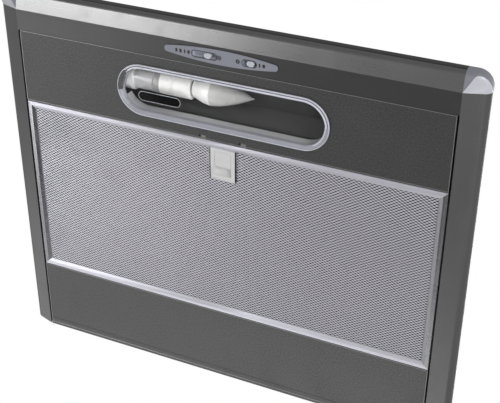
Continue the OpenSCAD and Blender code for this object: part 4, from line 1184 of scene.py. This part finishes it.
class HOOD_OT_controls(bpy.types.Operator):
    """Control plate with its two slots, plain marks, switches and sliding knobs."""

    bl_idname = "hood.controls"
    bl_label = "Controls"

    def execute(self, context):
        silver = plastic("plate_lacquer", colours().plate, 0.42, grain=2200.0, mottle=0.06, bump=0.05,
                         **{"Specular IOR Level": 0.4})
        knob = plastic("knob_silver", tint(214, 217, 226), 0.25, grain=2200.0, mottle=0.05, bump=0.04,
                       **coat(0.5, 0.1))
        # the switch bodies in the slots are painted near white, as painted light for the bright slots
        pale = plastic("slot_grey", tint(226, 229, 238), 0.35)
        ink = plastic("mark_ink", grey(30), 0.5, grain=2600.0, mottle=0.05, bump=0.02)
        soften(silver, 0.0008, "control_plate", angle=40, segments=3)
        soften(knob, 0.0005, "fan_knob", "light_knob", angle=40, segments=3)
        dress(pale, "fan_switch", "light_switch")
        for piece, x in self.marks():
            self.print_mark(piece, x)
            set_piece(piece, "hood", "label_black", ink)
        return {"FINISHED"}

    @staticmethod
    def marks():
        """Each printed mark with its place along x: the numbers, the two signs and the rims of the slots."""
        numbers = (("3", -0.0555), ("2", -0.0503), ("1", -0.0451), ("0", -0.0402), ("1", 0.047), ("0", 0.052))
        made = [(printed_number(f"number_{i}", text), x) for i, (text, x) in enumerate(numbers)]
        fan = [circle(0.0028), circle(0.0021), *fan_icon(0.0018)]
        lamp = [circle(0.0025), circle(0.0011), circle(0.0006)]
        made += [(printed_mark("fan_sign", fan), -0.0022), (printed_mark("lamp_sign", lamp), 0.0206)]
        for node, length in (("fan_switch", 0.031), ("light_switch", 0.017)):
            low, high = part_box(node)
            rim = [stadium(length + 0.0015, 0.0089, 16), stadium(length + 0.0001, 0.0075, 16)]
            made.append((printed_mark(node + "_rim", rim), (low.x + high.x) / 2))
        return made

    @staticmethod
    def print_mark(piece, x):
        """Turns a mark to face down and sets it on the plate, a little into it."""
        low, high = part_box("control_plate")
        place = Matrix.Translation((x, (low.y + high.y) / 2, low.z - 0.00003))
        piece.data.transform(place @ Matrix.Rotation(math.pi, 4, "X"))


class HOOD_OT_screws(bpy.types.Operator):
    """Screws with crossed recesses on every fastener's place."""

    bl_idname = "hood.screws"
    bl_label = "Screws"

    def execute(self, context):
        zinc = sheet("screw_zinc", grey(182), 0.85, 0.32, brush=0.05, flakes=0.2)
        radius, height, upper_z = 0.0036, 0.002, 0.14  # of the heads; sheet screws above upper_z hang down
        shank_rings = ((0.0012, -0.0034), (0.0019, -0.0028), (0.0019, 0.0001))
        for node, axis in (("sheet_screws", 2), ("housing_screws", 0), ("collar_screws", 2)):
            up, down, parts = [], [], []
            for low, high in solids_of(node):
                foot = (low + high) / 2
                hangs = node == "sheet_screws" and foot.z > upper_z
                foot[axis] = low[axis] + height if hangs else high[axis] - height
                (down if hangs else up).append(foot)
            turn = (0, math.pi / 2, 0) if axis == 0 else (0, 0, 0)
            head = screw_unit(radius, height)
            shank = loft("shank", [lift(circle(r, 12), z) for r, z in shank_rings])
            for unit, name, hanging, spin in (
                (head, "fine_" + node, "fine_hanging_screws", math.pi),
                (shank, "fine_shanks_" + node, "fine_hanging_shanks", 0.0),
            ):
                parts.append(scatter(name, unit, up, turn, zinc, spin))
                if down:
                    parts.append(scatter(hanging, unit, down, (math.pi, 0, 0), zinc, spin))
                bpy.data.objects.remove(unit)
            for i, part in enumerate(parts):
                shade(part, 30)
                set_piece(part, "hood", slot_of(node), None, *([node] if i == 0 else []))
        return {"FINISHED"}


class HOOD_OT_blower(bpy.types.Operator):
    """Blower, motor, duct collar and non-return flaps."""

    bl_idname = "hood.blower"
    bl_label = "Blower and duct collar"

    def execute(self, context):
        dark = plastic("blower_plastic", colours().dark, 0.5, dust=0.3)
        wheel = plastic("wheel_plastic", grey(58), 0.45, dust=0.2)
        motor = sheet("motor_steel", grey(120), 0.8, 0.4, brush=0.2, flakes=0.1, dust=0.2)
        zinc = sheet("zinc_sheet", grey(160), 0.8, 0.38, brush=0.1, flakes=0.25, flake_scale=160.0, dust=0.2)
        soften(dark, 0.0004, "blower_housing_left", "blower_housing_right", "outlet_collar", angle=40)
        dress(wheel, "impeller")
        dress(motor, "motor", "motor_shaft", "damper_pin")
        dress(zinc, "motor_bracket", "capacitor_clip")
        dress(dark, "inlet_guard_left", "inlet_guard_right")
        soften(wheel, 0.0002, "damper_flap_front", "damper_flap_rear", angle=40)
        return {"FINISHED"}


class HOOD_OT_electrics(bpy.types.Operator):
    """Terminal box, capacitor, gland and wires."""

    bl_idname = "hood.electrics"
    bl_label = "Electrics"

    def execute(self, context):
        white = plastic("box_plastic", grey(222), 0.42, dust=0.25)
        black = plastic("black_rubber", grey(24), 0.5, grain=1100.0)
        dress(white, "capacitor")
        soften(white, 0.0005, "terminal_box", "terminal_cover", "terminal_block", angle=40)
        soften(black, 0.0004, "cable_gland", angle=40)
        dress(black, "wire_loom")
        return {"FINISHED"}


def flat_sheet(name, low, high, z, material):
    """A level single face, for the stage."""
    data = bpy.data.meshes.new(name)
    data.from_pydata(lift(rectangle(low, high), z), [], [(0, 1, 2, 3)])
    made = add_object(name, data)
    paint(made, material)
    return made


class HOOD_OT_stage(bpy.types.Operator):
    """Camera, soft lamps, white surroundings and the pale floor."""

    bl_idname = "hood.stage"
    bl_label = "Stage"

    def execute(self, context):
        scene = context.scene
        scene.view_settings.view_transform = "Standard"
        self.make_camera(scene)
        for name, place, target, size, power, spills in (
            ("key", (-1.5, -0.75, -1.8), (-1.5, -0.75, 0), (1.3, 0.6), 17, False),
            ("glow", (-1.75, 0.62, -1.8), (-1.75, 0.62, 0), (0.9, 0.5), 6, False),
            ("rear", (-0.3, 1.85, -1.8), (-0.3, 1.85, 0), (3.0, 0.9), 16, True),
            ("left", (-3.0, 2.4, -0.9), (0, 0, 0), (1.6, 1.2), 5, True),
            ("fill", (1.7, -1.5, -1.2), (0, -0.3, 0), (1.1, 1.1), 22, True),
            ("right", (1.5, 0.3, -1.8), (1.5, 0.3, 0), (0.9, 0.9), 1.2, True),
            ("top", (0.7, 0.7, 2.3), (0, -0.2, 0.1), (1.6, 1.6), 30, True),
        ):
            self.make_lamp(name, place, target, size, power, spills)
        self.make_world(scene)
        self.make_floor()
        self.make_card()
        return {"FINISHED"}

    @staticmethod
    def make_camera(scene):
        """The camera, as solved from the straight edges of the underside in the photograph."""
        camera = add_object("camera", bpy.data.cameras.new("camera"))
        camera.data.lens = 78.14
        camera.data.sensor_width = 36
        camera.data.clip_start = 0.05
        camera.matrix_world = Matrix((
            (0.91058, -0.21950, 0.35024, 0.4858),
            (-0.00467, -0.85275, -0.52230, -0.9515),
            (0.41331, 0.47396, -0.77752, -0.9992),
            (0, 0, 0, 1),
        ))
        scene.camera = camera

    @staticmethod
    def make_lamp(name, place, target, size, power, spills):
        """A soft rectangular lamp. One that doesn't spill is seen in reflections only."""
        data = bpy.data.lights.new(name, "AREA")
        data.shape = "RECTANGLE"
        data.size, data.size_y = size
        data.energy = power
        lamp = add_object(name, data)
        lamp.location = place
        lamp.rotation_euler = (Vector(target) - Vector(place)).to_track_quat("-Z", "Y").to_euler()
        lamp.visible_camera = False
        lamp.visible_diffuse = spills

    @staticmethod
    def make_world(scene):
        """White surroundings, dimmer for all but the camera and what is seen through the lens."""
        world = bpy.data.worlds.new("surroundings")
        world.use_nodes = True
        scene.world = world
        tree = world.node_tree
        path = put(tree, "ShaderNodeLightPath").outputs
        seen = maths(tree, "MAXIMUM", path["Is Camera Ray"], path["Is Transmission Ray"])
        ground = tree.nodes["Background"].inputs
        ground["Color"].default_value = (1, 1, 1, 1)
        join(tree, spread(tree, seen, 0.0, 1.0, 0.4, 1.0), ground["Strength"])

    @staticmethod
    def make_floor():
        """A wide pale floor with faint patches."""
        pale, tree, surface = new_material("pale_floor", {"Roughness": 0.8, "Specular IOR Level": 0.1})
        patches = spread(tree, noise(tree, coordinates(tree), 3.0, 3.0), 0.3, 0.7, 0.0, 1.0)
        darker, lighter = (0.80, 0.80, 0.80, 1), (0.84, 0.84, 0.84, 1)
        join(tree, blend_colour(tree, patches, darker, lighter), surface["Base Color"])
        half = 8.0
        floor = flat_sheet("floor", (-half, -half), (half, half), -1.9, pale)

    @staticmethod
    def make_card():
        """A dark card on the floor that only reflections see."""
        card = flat_sheet("card", (-1.15, 0.3), (1.6, 1.3), -1.85, plastic("card_black", grey(50), 0.8))
        card.visible_camera = card.visible_diffuse = card.visible_transmission = card.visible_shadow = False


BUILD = (
    HOOD_OT_stage, HOOD_OT_body, HOOD_OT_caps, HOOD_OT_filter, HOOD_OT_latch, HOOD_OT_lens, HOOD_OT_lamp,
    HOOD_OT_controls, HOOD_OT_screws, HOOD_OT_blower, HOOD_OT_electrics,
)


class HOOD_PT_sidebar(bpy.types.Panel):
    """Lists the hood's sizes, colours and building steps."""

    bl_idname = "HOOD_PT_sidebar"
    bl_label = "Range hood"
    bl_space_type = "VIEW_3D"
    bl_region_type = "UI"
    bl_category = "Hood"

    def draw(self, context):
        layout = self.layout
        for settings in (context.scene.hood_sizes, context.scene.hood_colours):
            column = layout.column(align=True)
            for name in settings.__annotations__:
                column.prop(settings, name)
        for operator in BUILD:
            layout.operator(operator.bl_idname)


CLASSES = (HoodSizes, HoodColours, *BUILD, HOOD_PT_sidebar)


def register():
    for item in CLASSES:
        bpy.utils.register_class(item)
    bpy.types.Scene.hood_sizes = bpy.props.PointerProperty(type=HoodSizes)
    bpy.types.Scene.hood_colours = bpy.props.PointerProperty(type=HoodColours)


def unregister():
    del bpy.types.Scene.hood_sizes
    del bpy.types.Scene.hood_colours
    for item in reversed(CLASSES):
        bpy.utils.unregister_class(item)


def main():
    register()
    for operator in BUILD:
        step = getattr(bpy.ops.hood, operator.bl_idname.split(".")[1])
        if step() != {"FINISHED"}:
            raise RuntimeError("this step did not finish: " + operator.bl_label)


if __name__ == "__main__":
    main()
